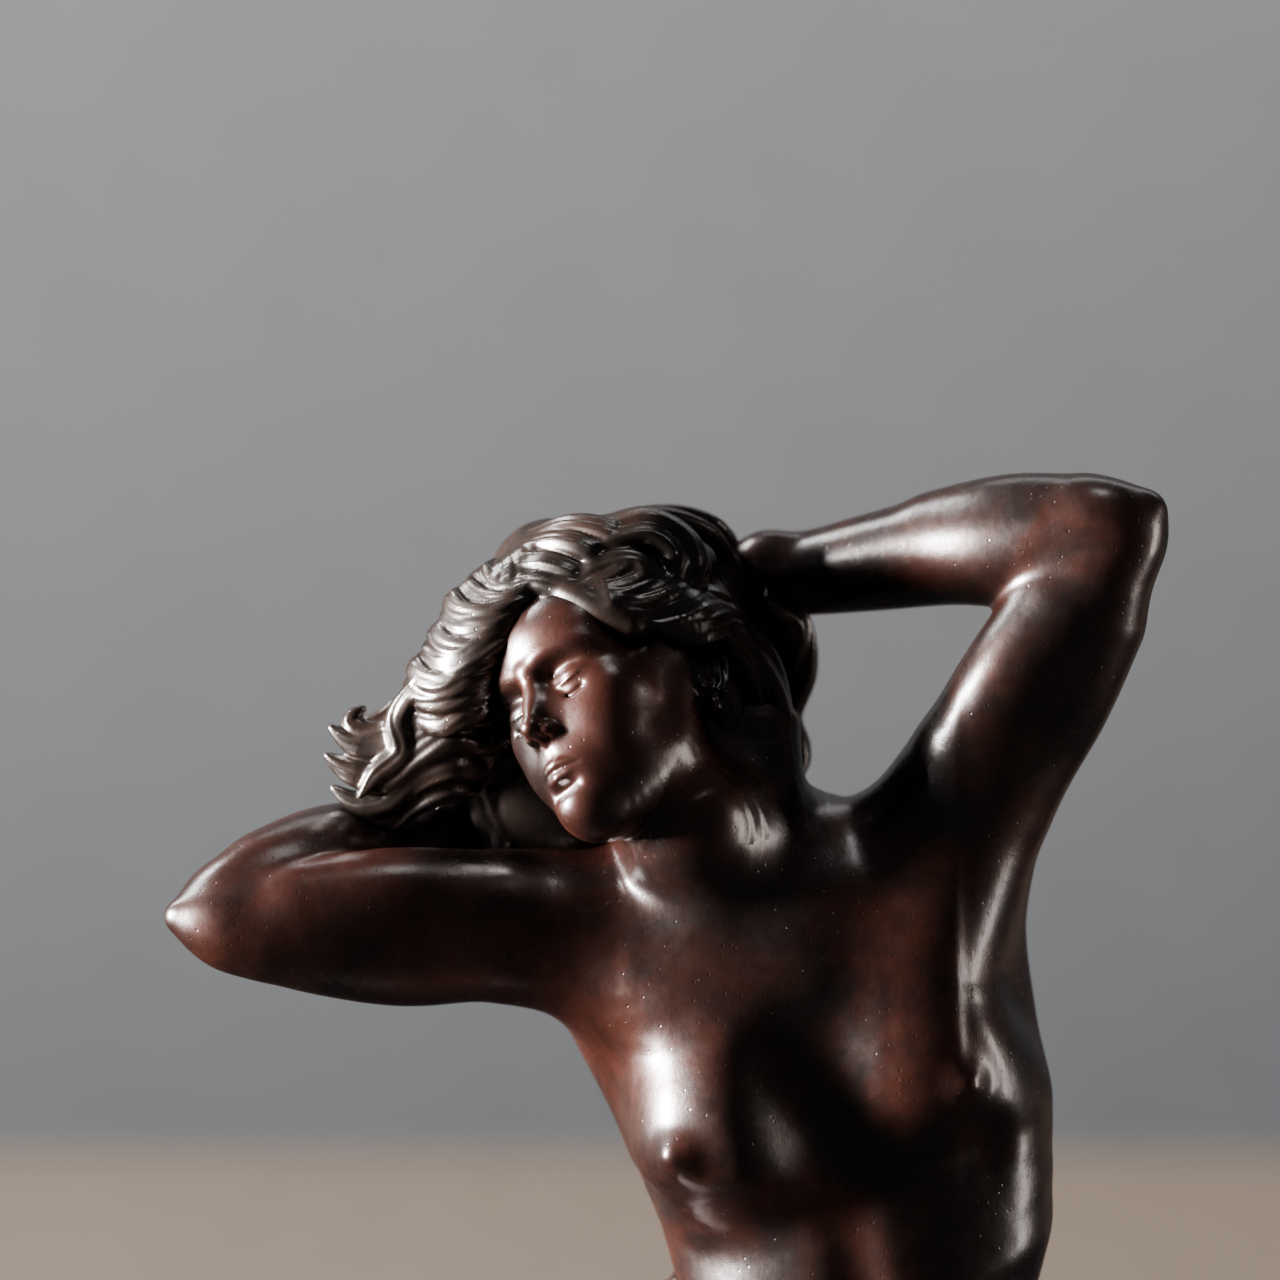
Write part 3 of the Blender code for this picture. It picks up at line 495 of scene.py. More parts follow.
def build_body():
    clay = body_clay()
    points, quads = clay.skin()
    middle = points[quads].mean(1)
    x, y, z = middle.T
    above = (middle - NECK_CUT) @ NECK_AXIS
    left = ((middle - LEFT_ARM_CUT) @ LEFT_ARM_AXIS > 0) & (z > 268)
    right = ((middle - RIGHT_ARM_CUT) @ RIGHT_ARM_AXIS > 0) & (x < -30)
    right |= (x < -20) & (y > 14) & (z > 272)  # her right hand
    neck = (above > 0) & (above < 4) & np.all(middle < NECK_ROOM[1], 1) & (x > NECK_ROOM[0][0])
    under_cloth = z < waistline_z(x, y) - 6
    normals = clay.slope(points)
    for name, mask in (
        ("torso", ~(left | right | neck | under_cloth)),
        ("right_arm", right & ~neck),
        ("left_arm", left & ~neck),
    ):
        skinned(name, points, quads[mask], normals, f"{name}_casting")


# ---- her head ----

SKULL = """
mass 0.04: 0 0.05 0.11, 0.335 0.42 0.385  # cranium
mass 0.06: 0 -0.165 0.15, 0.262 0.245 0.22  # forehead
mass 0.08: 0 -0.13 -0.12, 0.255 0.27 0.32  # face
masses 0.09: 0.165 -0.215 -0.085, 0.092 0.1 0.075  # cheekbones
masses 0.09: 0.115 -0.23 -0.22, 0.1 0.112 0.12  # cheeks
cords 0.09: 0.215 0.03 -0.11 0.055, 0.192 -0.03 -0.25 0.06, 0.115 -0.19 -0.36 0.06, 0 -0.28 -0.405 0.075  # jaw
mass 0.06: 0 -0.335 -0.42, 0.07 0.078 0.066  # chin
mass 0.06: 0 -0.295 -0.285, 0.12 0.125 0.11  # round the mouth
cord 0.16: 0 -0.25 -0.41 0.07, 0.01 -0.06 -0.36 0.13, 0.03 0.06 -0.38 0.17, 0.05 0.09 -0.5 0.2
"""
BROW = """
cords 0.05: 0.225 -0.225 0.055 0.022, 0.165 -0.32 0.088 0.028, 0.085 -0.368 0.085 0.028, 0.02 -0.385 0.06 0.024
masses 0.06 cut: 0.295 -0.19 0.12, 0.045 0.09 0.09  # temples
"""
EYES = """
masses 0.06 cut: 0.12 -0.42 0, 0.092 0.074 0.05
masses 0.022: 0.119 -0.312 -0.014, 0.066 0.052 0.043
cords 0.018 cut: 0.06 -0.34 0.012 0.003, 0.088 -0.366 0.03 0.004, 0.128 -0.369 0.036 0.004,
    0.172 -0.345 0.022 0.003  # fold over the upper lid
cords 0.007 cut: 0.061 -0.343 -0.02 0.001, 0.088 -0.365 -0.033 0.0025, 0.122 -0.37 -0.037 0.003,
    0.156 -0.354 -0.03 0.0025, 0.18 -0.332 -0.018 0.001  # where they meet
cords 0.01: 0.072 -0.357 -0.026 0.002, 0.12 -0.374 -0.03 0.0045, 0.165 -0.35 -0.022 0.002
cords 0.026 cut: 0.078 -0.346 -0.068 0.003, 0.118 -0.356 -0.078 0.004, 0.16 -0.338 -0.068 0.003  # under the lower lid
"""
NOSE = """
mass 0.055: 0 -0.365 -0.1, 0.05 0.07 0.11
cord 0.04: 0 -0.37 0.065 0.026, 0 -0.388 0.005 0.022, 0 -0.422 -0.06 0.024, 0 -0.455 -0.122 0.027
mass 0.024: 0 -0.462 -0.145, 0.031 0.034 0.028
masses 0.02: 0.037 -0.42 -0.164, 0.023 0.036 0.024
masses 0.008 cut: 0.018 -0.438 -0.189, 0.01 0.019 0.01
cord 0.012: 0 -0.452 -0.172 0.01, 0 -0.415 -0.196 0.012
"""
MOUTH = """
cord 0.026 cut: 0 -0.43 -0.215 0.003, 0 -0.434 -0.252 0.005
cords 0.016: 0.074 -0.376 -0.3 0.004, 0.046 -0.404 -0.288 0.011, 0.016 -0.419 -0.279 0.0135, 0 -0.417 -0.284 0.012
cords 0.016: 0.068 -0.376 -0.308 0.004, 0.038 -0.402 -0.319 0.013, 0 -0.411 -0.324 0.0175
cords 0.009 cut: 0.082 -0.382 -0.3025 0.002, 0.042 -0.417 -0.3025 0.003, 0 -0.43 -0.301 0.003
mass 0.04 cut: 0 -0.404 -0.366, 0.048 0.016 0.014
"""


def ear(clay, side):
    """The ear stands out a little more behind than in front."""
    def spot(back, up, radius, out=0.0):
        back, up = back * 1.25, up * 1.25
        return (side * (0.312 + 0.35 * (back + 0.04) + out), 0.095 + back, -0.085 + up, radius * 1.15)

    def mass(place, radii, blend, cut=False):
        back, up, out = place
        clay.mass(spot(back, up, 0, out)[:3], radii, blend, cut)

    def cord(points, blend, cut=False):
        clay.cord([spot(*row) for row in rows(points)], blend, cut)

    mass((0.012, 0.01, -0.040), (0.048, 0.056, 0.095), 0.03)
    mass((-0.004, -0.082, -0.006), (0.015, 0.026, 0.028), 0.012)
    cord("-0.022 -0.012 0.008, -0.036 0.03 0.011, -0.022 0.072 0.012, 0.014 0.092 0.013,"
         "0.046 0.074 0.013, 0.058 0.034 0.013, 0.048 -0.014 0.012, 0.024 -0.052 0.011", 0.008)
    mass((-0.002, -0.012, 0.016), (0.020, 0.024, 0.034), 0.008, True)
    cord("0.026 0.052 0.007 0.004, 0.032 0.018 0.008 0.004, 0.022 -0.026 0.008 0.004, 0.002 -0.048 0.007 0.004", 0.006)
    cord("-0.034 -0.008 0.009, -0.032 -0.028 0.010", 0.008)
    cord("0 0.07 0.004 0.014, 0.032 0.062 0.005 0.014, 0.044 0.02 0.005 0.014", 0.005, True)


def build_head():
    clay = Clay((-54, -34, 268), (9, 24, 327), HEAD_STEP)
    clay.follow(TORSO + NECK + SKULL + RIGHT_SHOULDER)
    chest(clay)
    clay.follow(BROW + EYES + NOSE + MOUTH)
    ear(clay, 1)
    ear(clay, -1)
    clay.melt(1)
    points, quads = clay.skin()
    middle = points[quads].mean(1)
    keep = ((middle - NECK_CUT) @ NECK_AXIS > -0.8) & (middle[:, 0] < NECK_ROOM[1][0] + 0.8)
    keep &= (middle[:, 0] > NECK_ROOM[0][0] - 2.5) | (middle[:, 2] > 279)
    local = (middle - HEAD_CENTRE) @ HEAD_TURN / HEAD_HEIGHT
    keep &= (local[:, 1] < 0.24) | (local[:, 2] < -0.14)  # the rest is under the hair
    sliced(("neck", "head"), 2, points, quads[keep], clay.slope(points), "head_casting")


# ---- her hair ----

def round_head(arc, side):
    """A direction: arc runs from the face over the crown to the nape, side from ear to ear."""
    arc, side = math.radians(arc), math.radians(side)
    return vec(math.sin(side), -math.cos(arc) * math.cos(side), math.sin(arc) * math.cos(side))


def scalp(arc, side, lift):
    """A place in the head's frame."""
    return SCALP_CENTRE + (SCALP_RADII + lift) * round_head(arc, side)


def hairline(side):
    return 33 - 42 * (abs(side) / 60) ** 2.2


def routes(text):
    """(size, points) for each line."""
    for line in text.strip().replace(",\n", ",").splitlines():
        size, points = line.split(":")
        yield float(size), rows(points)


def tapered(size, count, root=0.55, tip=0.12):
    """Half sizes along a lock: full in the middle, drawn in at the root and the tip."""
    share = np.linspace(0, 1, count)
    return size * np.minimum(1, root + share * 5) * np.clip(tip + (1 - share) * 3.2, 0, 1) ** 0.7


def combed(clay, side, rng):
    """A wavy lock from the hairline back over the head to the nape."""
    start = hairline(side)
    length = 212 - 0.3 * abs(side) - start
    depth = 0.155 if side < 0 else 0.075
    phase = side * 0.030 + rng.uniform(-0.3, 0.3)
    swing, drift = rng.uniform(3.0, 5.0), rng.uniform(-2, 2)
    path = []
    for share in np.linspace(0, 1, 64):
        arc = start + length * share
        run = arc - start
        wave = 2 * math.pi * run / 46 + phase
        lift = -0.012 + (depth + 0.012) * (1 - math.exp(-run / 12)) * (1 - 0.2 * share)
        lift += 0.016 * math.sin(wave * 1.2 + 0.6) * min(1, run / 16)
        sway = side + swing * math.sin(wave + 1.2) * min(1, run / 14) + drift * share * 2
        path.append(in_head(*scalp(arc, sway, lift)))
    width = rng.uniform(2.9, 3.3) * math.cos(math.radians(side * 0.55))
    clay.lock(path, tapered(width, 64, 0.85, 0.5), tapered(1.4, 64, 0.45, 0.5), 3.0, 1.2, twist=rng.uniform(-0.8, 0.8))


def beside_head(clay, side):
    """Locks from the temple over the top of the ear and down behind it, in the head's frame."""
    for width, route in routes(BESIDE_HEAD):
        path = smooth_line([in_head(x * side, y, z) for x, y, z in route], 9)
        clay.lock(path, tapered(width, len(path), 0.8), tapered(1.4, len(path), 0.4, 0.3), 2.8, 1.0, twist=0.4 * side)


def swept(clay, side, rng):
    """A wavy lock from the hairline over the side of the head to where her left hand gathers it."""
    start = round_head(hairline(side), side)
    gather = HEAD_TURN.T @ (vec(-7, 15, 315) - in_head(*SCALP_CENTRE))
    gather = unit(unit(gather) + vec(0, 0, -0.0035 * side))
    bend = math.acos(float(np.clip(start @ gather, -1, 1)))
    flank = unit(np.cross(start, gather))
    phase, swing = rng.uniform(-0.5, 0.5) + side * 0.03, rng.uniform(0.035, 0.055)
    path = []
    for share in np.linspace(0, 1, 48):
        on = (start * math.sin((1 - share) * bend) + gather * math.sin(share * bend)) / math.sin(bend)
        wave = 2 * math.pi * share * bend / 0.75 + phase
        on = on + flank * swing * math.sin(wave) * min(1, share * 4)
        lift = -0.028 + 0.101 * (1 - math.exp(-share * 6)) + 0.012 * math.sin(wave * 1.3) * min(1, share * 5)
        path.append(in_head(*(SCALP_CENTRE + (SCALP_RADII + lift) * unit(on))))
    width = rng.uniform(2.5, 3.1)
    clay.lock(path, tapered(width, 48, 0.15, 0.6), tapered(1.25, 48, 0.2, 0.6), 3.0, 1.0, twist=rng.uniform(-0.8, 0.8))


def loose(clay, points, width, thick, fibres=1.8, curl=0.0, turns=1.5, blend=0.6, root=0.55, middle=None):
    """A lock along points of the figure's frame. curl winds it round its own path."""
    path = smooth_line(points, 9)
    count = len(path)
    along = unit(np.gradient(path, axis=0))
    up = unit(np.cross(along, vec(0.3, 1, 0.2)))
    share = np.linspace(0, 1, count)
    angle = 2 * math.pi * turns * share
    swing = curl * (0.2 + 0.8 * share)
    path = path + up * (np.cos(angle) * swing)[:, None] + np.cross(along, up) * (np.sin(angle) * swing)[:, None]
    middle = path.mean(0) + vec(2, 14, -5) if middle is None else HEAD_CENTRE + vec(*middle)
    clay.lock(path, tapered(width, count, root), tapered(thick, count, root * 0.4, 0.3), fibres, blend, middle, 0.5)


# Each line is a lock: its half width and the points it runs through. BESIDE_HEAD's are in the head's frame.
BESIDE_HEAD = """
2.6: 0.285 -0.2 0.24, 0.345 -0.06 0.2, 0.372 0.08 0.15, 0.372 0.2 0.05, 0.34 0.3 -0.08, 0.28 0.36 -0.22
2.7: 0.37 0.18 0.14, 0.375 0.29 0.02, 0.345 0.38 -0.1, 0.3 0.42 -0.22, 0.25 0.41 -0.34
2.9: 0.33 0.3 0.16, 0.35 0.4 0, 0.29 0.46 -0.15, 0.22 0.45 -0.3, 0.16 0.4 -0.42
3: 0.2 0.42 0.16, 0.2 0.5 0, 0.14 0.52 -0.15, 0.11 0.49 -0.3, 0.05 0.43 -0.43
"""
CREST = """
3.4: -38 6 320, -30 10 325, -20 14 327, -12 17 325, -9 18 321
3.4: -39 0 320.5, -31 2 325.5, -21 6 328, -13 9 326, -9 11 320
3.2: -40 -4 319, -32.5 -3.5 324.5, -23 -1.5 327.6, -14.5 3 325.4, -9 8 318.5
2.3: -41 -6 317, -35 -8 322, -28 -8.6 325.6, -22.4 -8.8 327, -17.4 -8.6 324.4, -15.4 -9.4 320.4, -16.6 -10.6 316.8,
    -19.6 -11.4 315.2
2: -39.5 -8.6 316.5, -34 -10.6 320.8, -28 -11.2 323.8, -22.8 -11 324.6, -19.2 -10.8 322.2, -18.8 -11.8 318.6,
    -21 -12.6 316.6
1.8: -37.5 -10.8 315.2, -33 -12.4 318.4, -28.4 -12.8 320.8, -24.4 -12.8 320.8, -22.8 -13.2 318.4, -24.6 -13.8 316.4
"""
CROSSING = """
2.5: -25 -11 323.6, -30 -9.8 325.4, -35.5 -6.5 325.8, -40 -1 324.2, -43.5 5 320.5
2.3: -28 -12.8 320.5, -33 -11.6 322.8, -38 -8.2 323.2, -42.5 -3 321.6, -45.5 3 318
2.1: -31 -13 317.5, -35.5 -12.2 319.6, -40 -9.6 320.2, -44 -5 318.8, -46.5 0 315.8
1.8: -33.5 -13.2 315.4, -37.5 -13 317, -41.5 -10.8 317, -45.5 -6.5 315.2, -47.6 -2 312.5
"""
FRINGE = """
1.3: -36 -12 313.4, -33.4 -13.8 316.2, -30.2 -14.2 317.2, -27.8 -14.4 315.8, -28.4 -14.6 314
1.3: -38.4 -11.4 312.8, -37.6 -13 315.8, -35.2 -13.4 317.6, -32.6 -13.4 317
1.3: -33 -13.4 314.4, -31 -14.6 315.8, -29.6 -14.8 314.8, -30.2 -14.8 313.4
"""
DRAWN_OUT = """
2.4: -46 -9 301, -51 -11 301.2, -56 -10 298.8, -60.5 -8 295.2, -64.5 -7 294.8, -66.6 -6 296.6, -65.4 -5.5 298.4
2.5: -46 -9 298, -52 -11 298.2, -56.5 -9 295, -61.5 -8 293, -66 -7 293.6, -69.6 -6 296
2.7: -46.5 -8 294, -52 -10 294.4, -57 -9 291.4, -61.5 -8 288.6, -66.5 -7 289.8, -70.2 -6 291.8
2.4: -47 -7 290, -52 -9 290.4, -57 -8 288.4, -61 -7 285.2, -65.5 -6 284.8, -69.4 -5 287
2.4: -48 -5 287.5, -53 -7 287, -58 -6 284.6, -62 -5 282.4, -67 -5 282.8
2: -50 -10 305, -55.6 -11 302.6, -59.6 -10 297.6, -59.4 -10 292.4, -63.4 -9 289.4, -65.6 -8 286
2.9: -44 -1 306, -50 -1 304.6, -56 1 300.6, -61 2 297.4, -65.5 2 296.8
2.9: -44 5 303, -51 6 300, -57 7 294.4, -62 7 289, -65 7 284.6
3: -42 10 309, -49 10 306, -54 11 300, -57 12 293.6, -60 11 288.6
2.8: -42 4 293, -47 5 290, -52 6 286, -56 7 283
"""
NAPE = """
3.1: -5 6 316, -0.4 11 311, 0.6 15 304, -2 17 297, -0.8 16 290.5, -3.4 13 286
3.1: -6 13 317, -3 18 310, -3 21 303, -6 21 296, -4.5 18.5 289, -7 15 285
3.1: -13 18 317, -10 22 309, -10.6 24 302, -13 23 294.5, -11.5 20 287.5, -14 16 284
3.1: -20 19 315, -18 24 307, -18.5 25 300, -21 23 292.5, -19.5 19.5 286, -22 15 283
3.1: -27 19 313, -26 23 305, -26.5 23.6 298, -29 21 291, -27.5 17.5 285, -30 13 282
3.1: -34 17 311, -34 21 303, -34.6 21 296, -37 19 290, -35.5 15 285
3.1: -28 15 298, -31 16 291, -31 14.5 284, -29.5 12 277, -31 10 270
3.1: -34 13 298, -36.5 14 291, -37 13 284, -35 11 277, -36.5 9 270
3.1: -40 10 298, -42.5 11 290, -42.5 10.5 283.5, -41 9 277, -42.5 8 270
3.1: -45 8 297, -47.5 9 289, -47.5 9 283, -46.5 8 277, -48 7 271
"""


def top_locks(clay):
    """Hair swept up from the brow towards her left hand, with a curl that breaks like a wave on top."""
    rng = np.random.default_rng(5)
    clay.follow("masses 0.03 cut: 0.36 0.085 -0.09, 0.085 0.085 0.12  # room for the ears")
    clay.cord([(*scalp(hairline(side) + 7, side, 0.0), 0.050) for side in range(-12, 66, 12)], 0.05)
    for side in range(70, -3, -8):
        swept(clay, side + rng.uniform(-1, 1), rng)
    clay.follow("blob 2 y-8: -25 -4.5 319.5, 12.5 7 5.5")
    for width, route in routes(CREST):
        loose(clay, route, width, 1.5, 2.6, root=0.6, middle=(3, 5, 0), blend=0.8)
    clay.follow("limb 3: -33 -4 321.5 5.5, -38 -5 318.5 6, -42.5 -5.5 314 5")
    for width, route in routes(CROSSING):
        loose(clay, route, width, 1.6, 2.4, curl=0.4, root=0.4, middle=(3, 7, 0), blend=0.6)
    for width, route in routes(FRINGE):
        loose(clay, route, width, 1.1, 1.8, root=0.5, middle=(2, 6, 0), blend=0.6)


def left_waves(clay, rng):
    """Waves at her right temple: they sag from the hairline and turn up at the tips, one above the other."""
    roots = rows("-36.5 -9.5 317.6, -40.2 -11.6 313.6, -43.2 -12.2 309, -45.4 -11.4 304, -46.4 -9.8 298.6")
    for root in smooth_line(roots, 2):
        reach, dip = rng.uniform(0.92, 1.08), rng.uniform(0.8, 1.2)
        steps = ((1.5, 1.0, 1.0), (-2.6, -1.4, -0.2), (-6.4, -1.2, -1.6 * dip), (-9.6, 1.2, -1.2 * dip),
                 (-11.4, 4.4, 0.8), (-10.6, 7.6, 2.4))
        for shift, width in (((0, 0, 0), 2.0), ((0.4, -0.9, 1.2), 1.0), ((-0.2, -0.8, -1.0), 0.9)):
            route = [root + vec(x * reach, y, z) + vec(*shift) for x, y, z in steps]
            loose(clay, route, width * rng.uniform(0.9, 1.15), width * 0.85, 1.9, curl=0.25,
                  turns=rng.uniform(0.6, 1.1), root=0.3, middle=(0, 8, 0), blend=0.35)


def build_hair():
    clay = Clay((-78, -30, 274), (14, 38, 337), HAIR_STEP)
    rng = np.random.default_rng(11)
    clay.follow("""
mass 0: 0 0.085 0.125, 0.375 0.455 0.44
mass 0.1: 0 0.24 -0.02, 0.3 0.3 0.36
blob 4: -17 11 314, 11 9 12
blob 4: -38 2.5 318.6, 8.5 9 8.4
""")
    start, behind = in_head(0, -0.36, 0.30), HEAD_TURN @ vec(0, 0.86, 0.51)
    _, grid, _ = clay.window(clay.low, clay.low + 999)
    face_side = dot([grid[i] - start[i] for i in range(3)], behind)
    clay.join(clay.field, face_side - 9.0, 2.0, True)
    for side in range(-62, -5, 8):
        combed(clay, side + rng.uniform(-1.0, 1.0), rng)
    beside_head(clay, 1)
    beside_head(clay, -1)
    top_locks(clay)
    left_waves(clay, rng)
    clay.follow("blob 3 y20: -53 1 294, 9 6.5 9.5")
    for width, route in routes(DRAWN_OUT):  # what her right hand lifts, and the loose ends over the forearm
        loose(clay, [row + vec(0, 2, 0) for row in route], width, width * 0.76, curl=0.5, turns=1.2)
    clay.follow("blob 3: -37 10 283, 12 4.5 13")
    for width, route in routes(NAPE):
        loose(clay, route, width, 2.5, 2.0, curl=0.5, turns=1.2)
    points, quads = clay.skin()
    names = "hair_right", "hair_crown", "hair_left"
    sliced(names, 0, points, quads, clay.slope(points), "head_casting", HAIR_BRONZE)


# ---- the drapery round her hips and legs ----

SKIRT = vec(  # height, centre x, centre y, radius x, radius y
    (0, 3, 2, 41, 34), (8, 3, 2, 38.5, 31.5), (35, 3.5, 1, 33, 28), (70, 4, 0, 30, 25.5),
    (100, 4.5, -0.5, 29.5, 24.5), (130, 5.5, 0, 32, 24), (155, 6.5, 1.5, 35.5, 25),
    (172, 7.5, 2.5, 37, 25.2), (190, 8, 2.5, 33, 22.5), (214, 8, 1.5, 27, 19),
)
LIMBS_UNDER = (  # her legs under the cloth: (angle, z, swell, angular spread, height spread)
    (292, 96, 9.0, 26, 26), (298, 128, 4.5, 30, 26), (236, 120, 3.0, 26, 50), (262, 70, -5.0, 17, 55),
    (90, 172, 3.5, 60, 18),
)
# Each fold: the angle at the top, z there, the angle at the foot, z there, rise, half width.
FOLDS = """
203 190 300 108 2.2 2.9, 206 184 287 84 2.6 3, 209 177 268 44 3 3.2, 211 171 252 0 3.4 3.5, 207 168 236 0 3 3.4,
200 172 220 0 3.2 3.5, 192 176 204 0 3 3.4, 183 180 190 0 3.4 3.6, 172 184 175 0 3 3.4, 283 92 272 0 3.2 3.5,
296 84 287 0 2.6 3.4, 309 90 304 0 3.4 3.5, 322 120 320 0 3 3.5, 337 166 336 0 3.2 3.6, 352 172 353 0 2.8 3.4,
8 178 9 0 3.4 3.8, 24 184 25 0 3 3.4, 41 190 41 0 3.4 3.6, 57 196 56 0 2.8 3.4, 74 200 72 0 3.4 3.6,
92 204 89 0 3 3.4, 109 204 106 0 3.4 3.6, 126 202 124 0 3 3.5, 142 198 141 0 3.4 3.6, 158 192 158 0 2.8 3.4
"""


def ring(count):
    """Angles all the way round."""
    return np.arange(count) * 2 * math.pi / count


def angle_gap(a, b):
    """The angle from b to a, in degrees, between -180 and 180."""
    return (a - b + 180) % 360 - 180


def fold_height(angle, z, radius):
    """How far the legs, the folds and the small creases push the cloth out there (degrees, mm)."""
    height = np.zeros_like(angle)
    for middle, level, swell, spread, rise in LIMBS_UNDER:
        height += swell * np.exp(-(angle_gap(angle, middle) / spread) ** 2 - ((z - level) / rise) ** 2)
    for top_angle, top, foot_angle, foot, ridge, width in rows(FOLDS):
        share = np.clip((top - z) / (top - foot), 0, 1)
        path = top_angle + angle_gap(foot_angle, top_angle) * share ** 0.8 + 2.5 * np.sin(5 * share + top)
        across = np.radians(angle_gap(angle, path)) * radius / (width * (0.7 + 0.5 * share))
        fade = np.clip((top - z) / (top - foot) * 6, 0, 1)
        if foot:
            fade = fade * np.clip((z - foot) / (top - foot) * 4, 0, 1)
        fade = fade * fade * (3 - 2 * fade)
        shape = 0.62 * np.exp(-across ** 2) + 0.5 * np.exp(-1.9 * np.sqrt(across ** 2 + 0.04))
        height += ridge * fade * (0.6 + 0.6 * share) * shape
    creases = np.sin(np.radians(angle * 43 + 60 * np.sin(z / 31)) + 1.4 * np.sin(z / 17 + angle / 25))
    pulls = np.sin(np.radians(angle * 17 - z * 4.2) + 1.1 * np.sin(angle / 14))
    height += 0.28 * creases * (0.4 + 0.6 * np.sin(np.radians(angle * 5) + z / 26) ** 2)
    height += 0.42 * pulls * np.exp(-((z - 176) / 26) ** 2)
    return height


def skirt_size(z):
    """Centre x and y and radius x and y at each height."""
    return (np.interp(z, SKIRT[:, 0], SKIRT[:, i]) for i in range(1, 5))


def waistline_z(x, y):
    return 191.0 - 0.316 * x + 0.95 * y


def waist_line(angle):
    """(x, y, z) along the cloth's sloping upper edge."""
    z = np.full_like(angle, 191.0)
    for _ in range(8):
        cx, cy, rx, ry = skirt_size(z)
        x, y = cx + rx * np.cos(angle), cy + ry * np.sin(angle)
        z = waistline_z(x, y)
    return np.stack([x, y, z], -1)


def grid_quads(levels, columns):
    """Quads between rows of points that close round into rings."""
    here = np.arange(columns)
    step = (here + 1) % columns
    row = np.arange(levels - 1)[:, None] * columns
    return np.stack([row + here, row + step, row + step + columns, row + here + columns], -1).reshape(-1, 4)


def turned_piece(name, grid, *rest):
    """A piece from points in an array of (level, column, xyz)."""
    mesh_piece(name, grid.reshape(-1, 3), grid_quads(*grid.shape[:2]), *rest)


def build_cloth():
    angle = ring(int(432 / FINE))
    edge = waist_line(angle)[:, 2] + 1.5
    hem = 0.5 + 0.35 * np.sin(angle * 9) + 0.25 * np.sin(angle * 23 + 1)
    z = hem + np.linspace(0, 1, int(212 / FINE))[:, None] * (edge - hem)
    cx, cy, rx, ry = skirt_size(z)
    push = fold_height(np.degrees(np.broadcast_to(angle, z.shape)) % 360, z, (rx + ry) / 2)
    rings = [np.stack([cx + (rx + push) * np.cos(angle), cy + (ry + push) * np.sin(angle), z], -1)]
    for inset, lift in ((1.2, -0.35), (2.4, 0.3)):  # the hem is turned in
        under = rings[0][0].copy()
        under[:, :2] -= unit(under[:, :2] - np.stack([cx[0], cy[0]], -1)) * inset
        under[:, 2] = np.maximum(under[:, 2] + lift, 0)
        rings.insert(0, under[None])
    turned_piece("drapery", np.concatenate(rings), "drapery_casting")


def build_roll():
    """The cloth twisted over into a roll round her hips."""
    count, around = int(760 / FINE), int(56 / FINE)
    angle = ring(count)
    line = waist_line(angle)
    along = unit(np.roll(line, -1, 0) - np.roll(line, 1, 0))
    out = line - vec(8, 1.5, 0) - vec(0, 0, 1) * line[:, 2:]
    out = unit(out - along * (out * along).sum(1, keepdims=True))
    up = np.cross(along, out)
    turn = ring(around)[:, None]
    twist = turn + 7 * angle + 0.7 * np.sin(3 * angle)
    size = 4.0 + 0.5 * np.sin(5 * angle + 1) + 0.75 * np.abs(np.sin(1.5 * twist)) ** 0.7 - 0.35
    size = size + 0.22 * np.sin(9 * twist + 2 * np.sin(4 * angle)) + 0.16 * np.sin(angle * 61 + 3 * turn)
    points = line + (np.cos(turn) * size)[..., None] * out + (np.sin(turn) * size)[..., None] * up
    seam = grid_quads(2, count)
    seam = np.where(seam < count, seam + (around - 1) * count, seam - count)
    quads = np.concatenate([grid_quads(around, count), seam])[:, ::-1]
    mesh_piece("drapery_roll", points.reshape(-1, 3), quads, "drapery_casting")


def foot(clay, heel, toe, side):
    """A bare foot from under the hem; side is +1 when the big toe is towards +x."""
    heel, toe = vec(*heel), vec(*toe)
    length = np.linalg.norm(toe - heel)
    way = (toe - heel) / length
    across = np.cross(way, vec(0, 0, 1)) * side

    def spot(along, over, up, radius):
        return (*(heel + way * along * length + across * over + vec(0, 0, up)), radius)

    for blend, text in (
        (2, "-0.2 0 9.5 6.4, 0.2 0 7.6 5.8, 0.55 0.3 5.2 4.8, 0.78 0.5 3.8 3.8"),
        (3, "0.2 -3 3.4 3.4, 0.6 -4 2.8 2.9, 0.8 -3.4 2.4 2.4"),
        (3, "0.2 3 4 3.6, 0.6 3.8 3.6 3.4, 0.82 3.6 3 3"),
    ):
        clay.limb(smooth_path([spot(*row) for row in rows(text)]), blend)
    for over, reach, radius in rows("3.9 1.04 2.1, 1.3 1.03 1.55, -0.9 0.98 1.45, -2.9 0.92 1.4, -4.6 0.84 1.35"):
        toe = (spot(0.72, over * 0.9, 3.2, radius), spot(reach - 0.12, over * 1.08, 3.0, radius * 0.95),
               spot(reach, over * 1.12, 1.7, radius))
        clay.limb(smooth_path(toe, 5), 0.9)
        nail = spot(reach + 0.045, over * 1.13, 2.6, 0)[:3]
        clay.blob(nail, (radius * 0.62, radius * 0.62, 0.28), blend=0.2)


def build_feet():
    clay = Clay((-26, -54, 0.0), (46, -8, 18), FOOT_STEP)
    foot(clay, (-7, -22, 0), (-10.6, -45.5, 0), 1)
    foot(clay, (27, -18, 0), (32.4, -41.5, 0), -1)
    clay.melt(1)
    mesh_piece("feet", *clay.skin(), "drapery_casting")


# ---- the base ----

def levels_of(name):
    """The node's lowest and highest z in the figure's frame."""
    low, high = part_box(name)
    return (low.z - FIGURE.z) / MM, (high.z - FIGURE.z) / MM


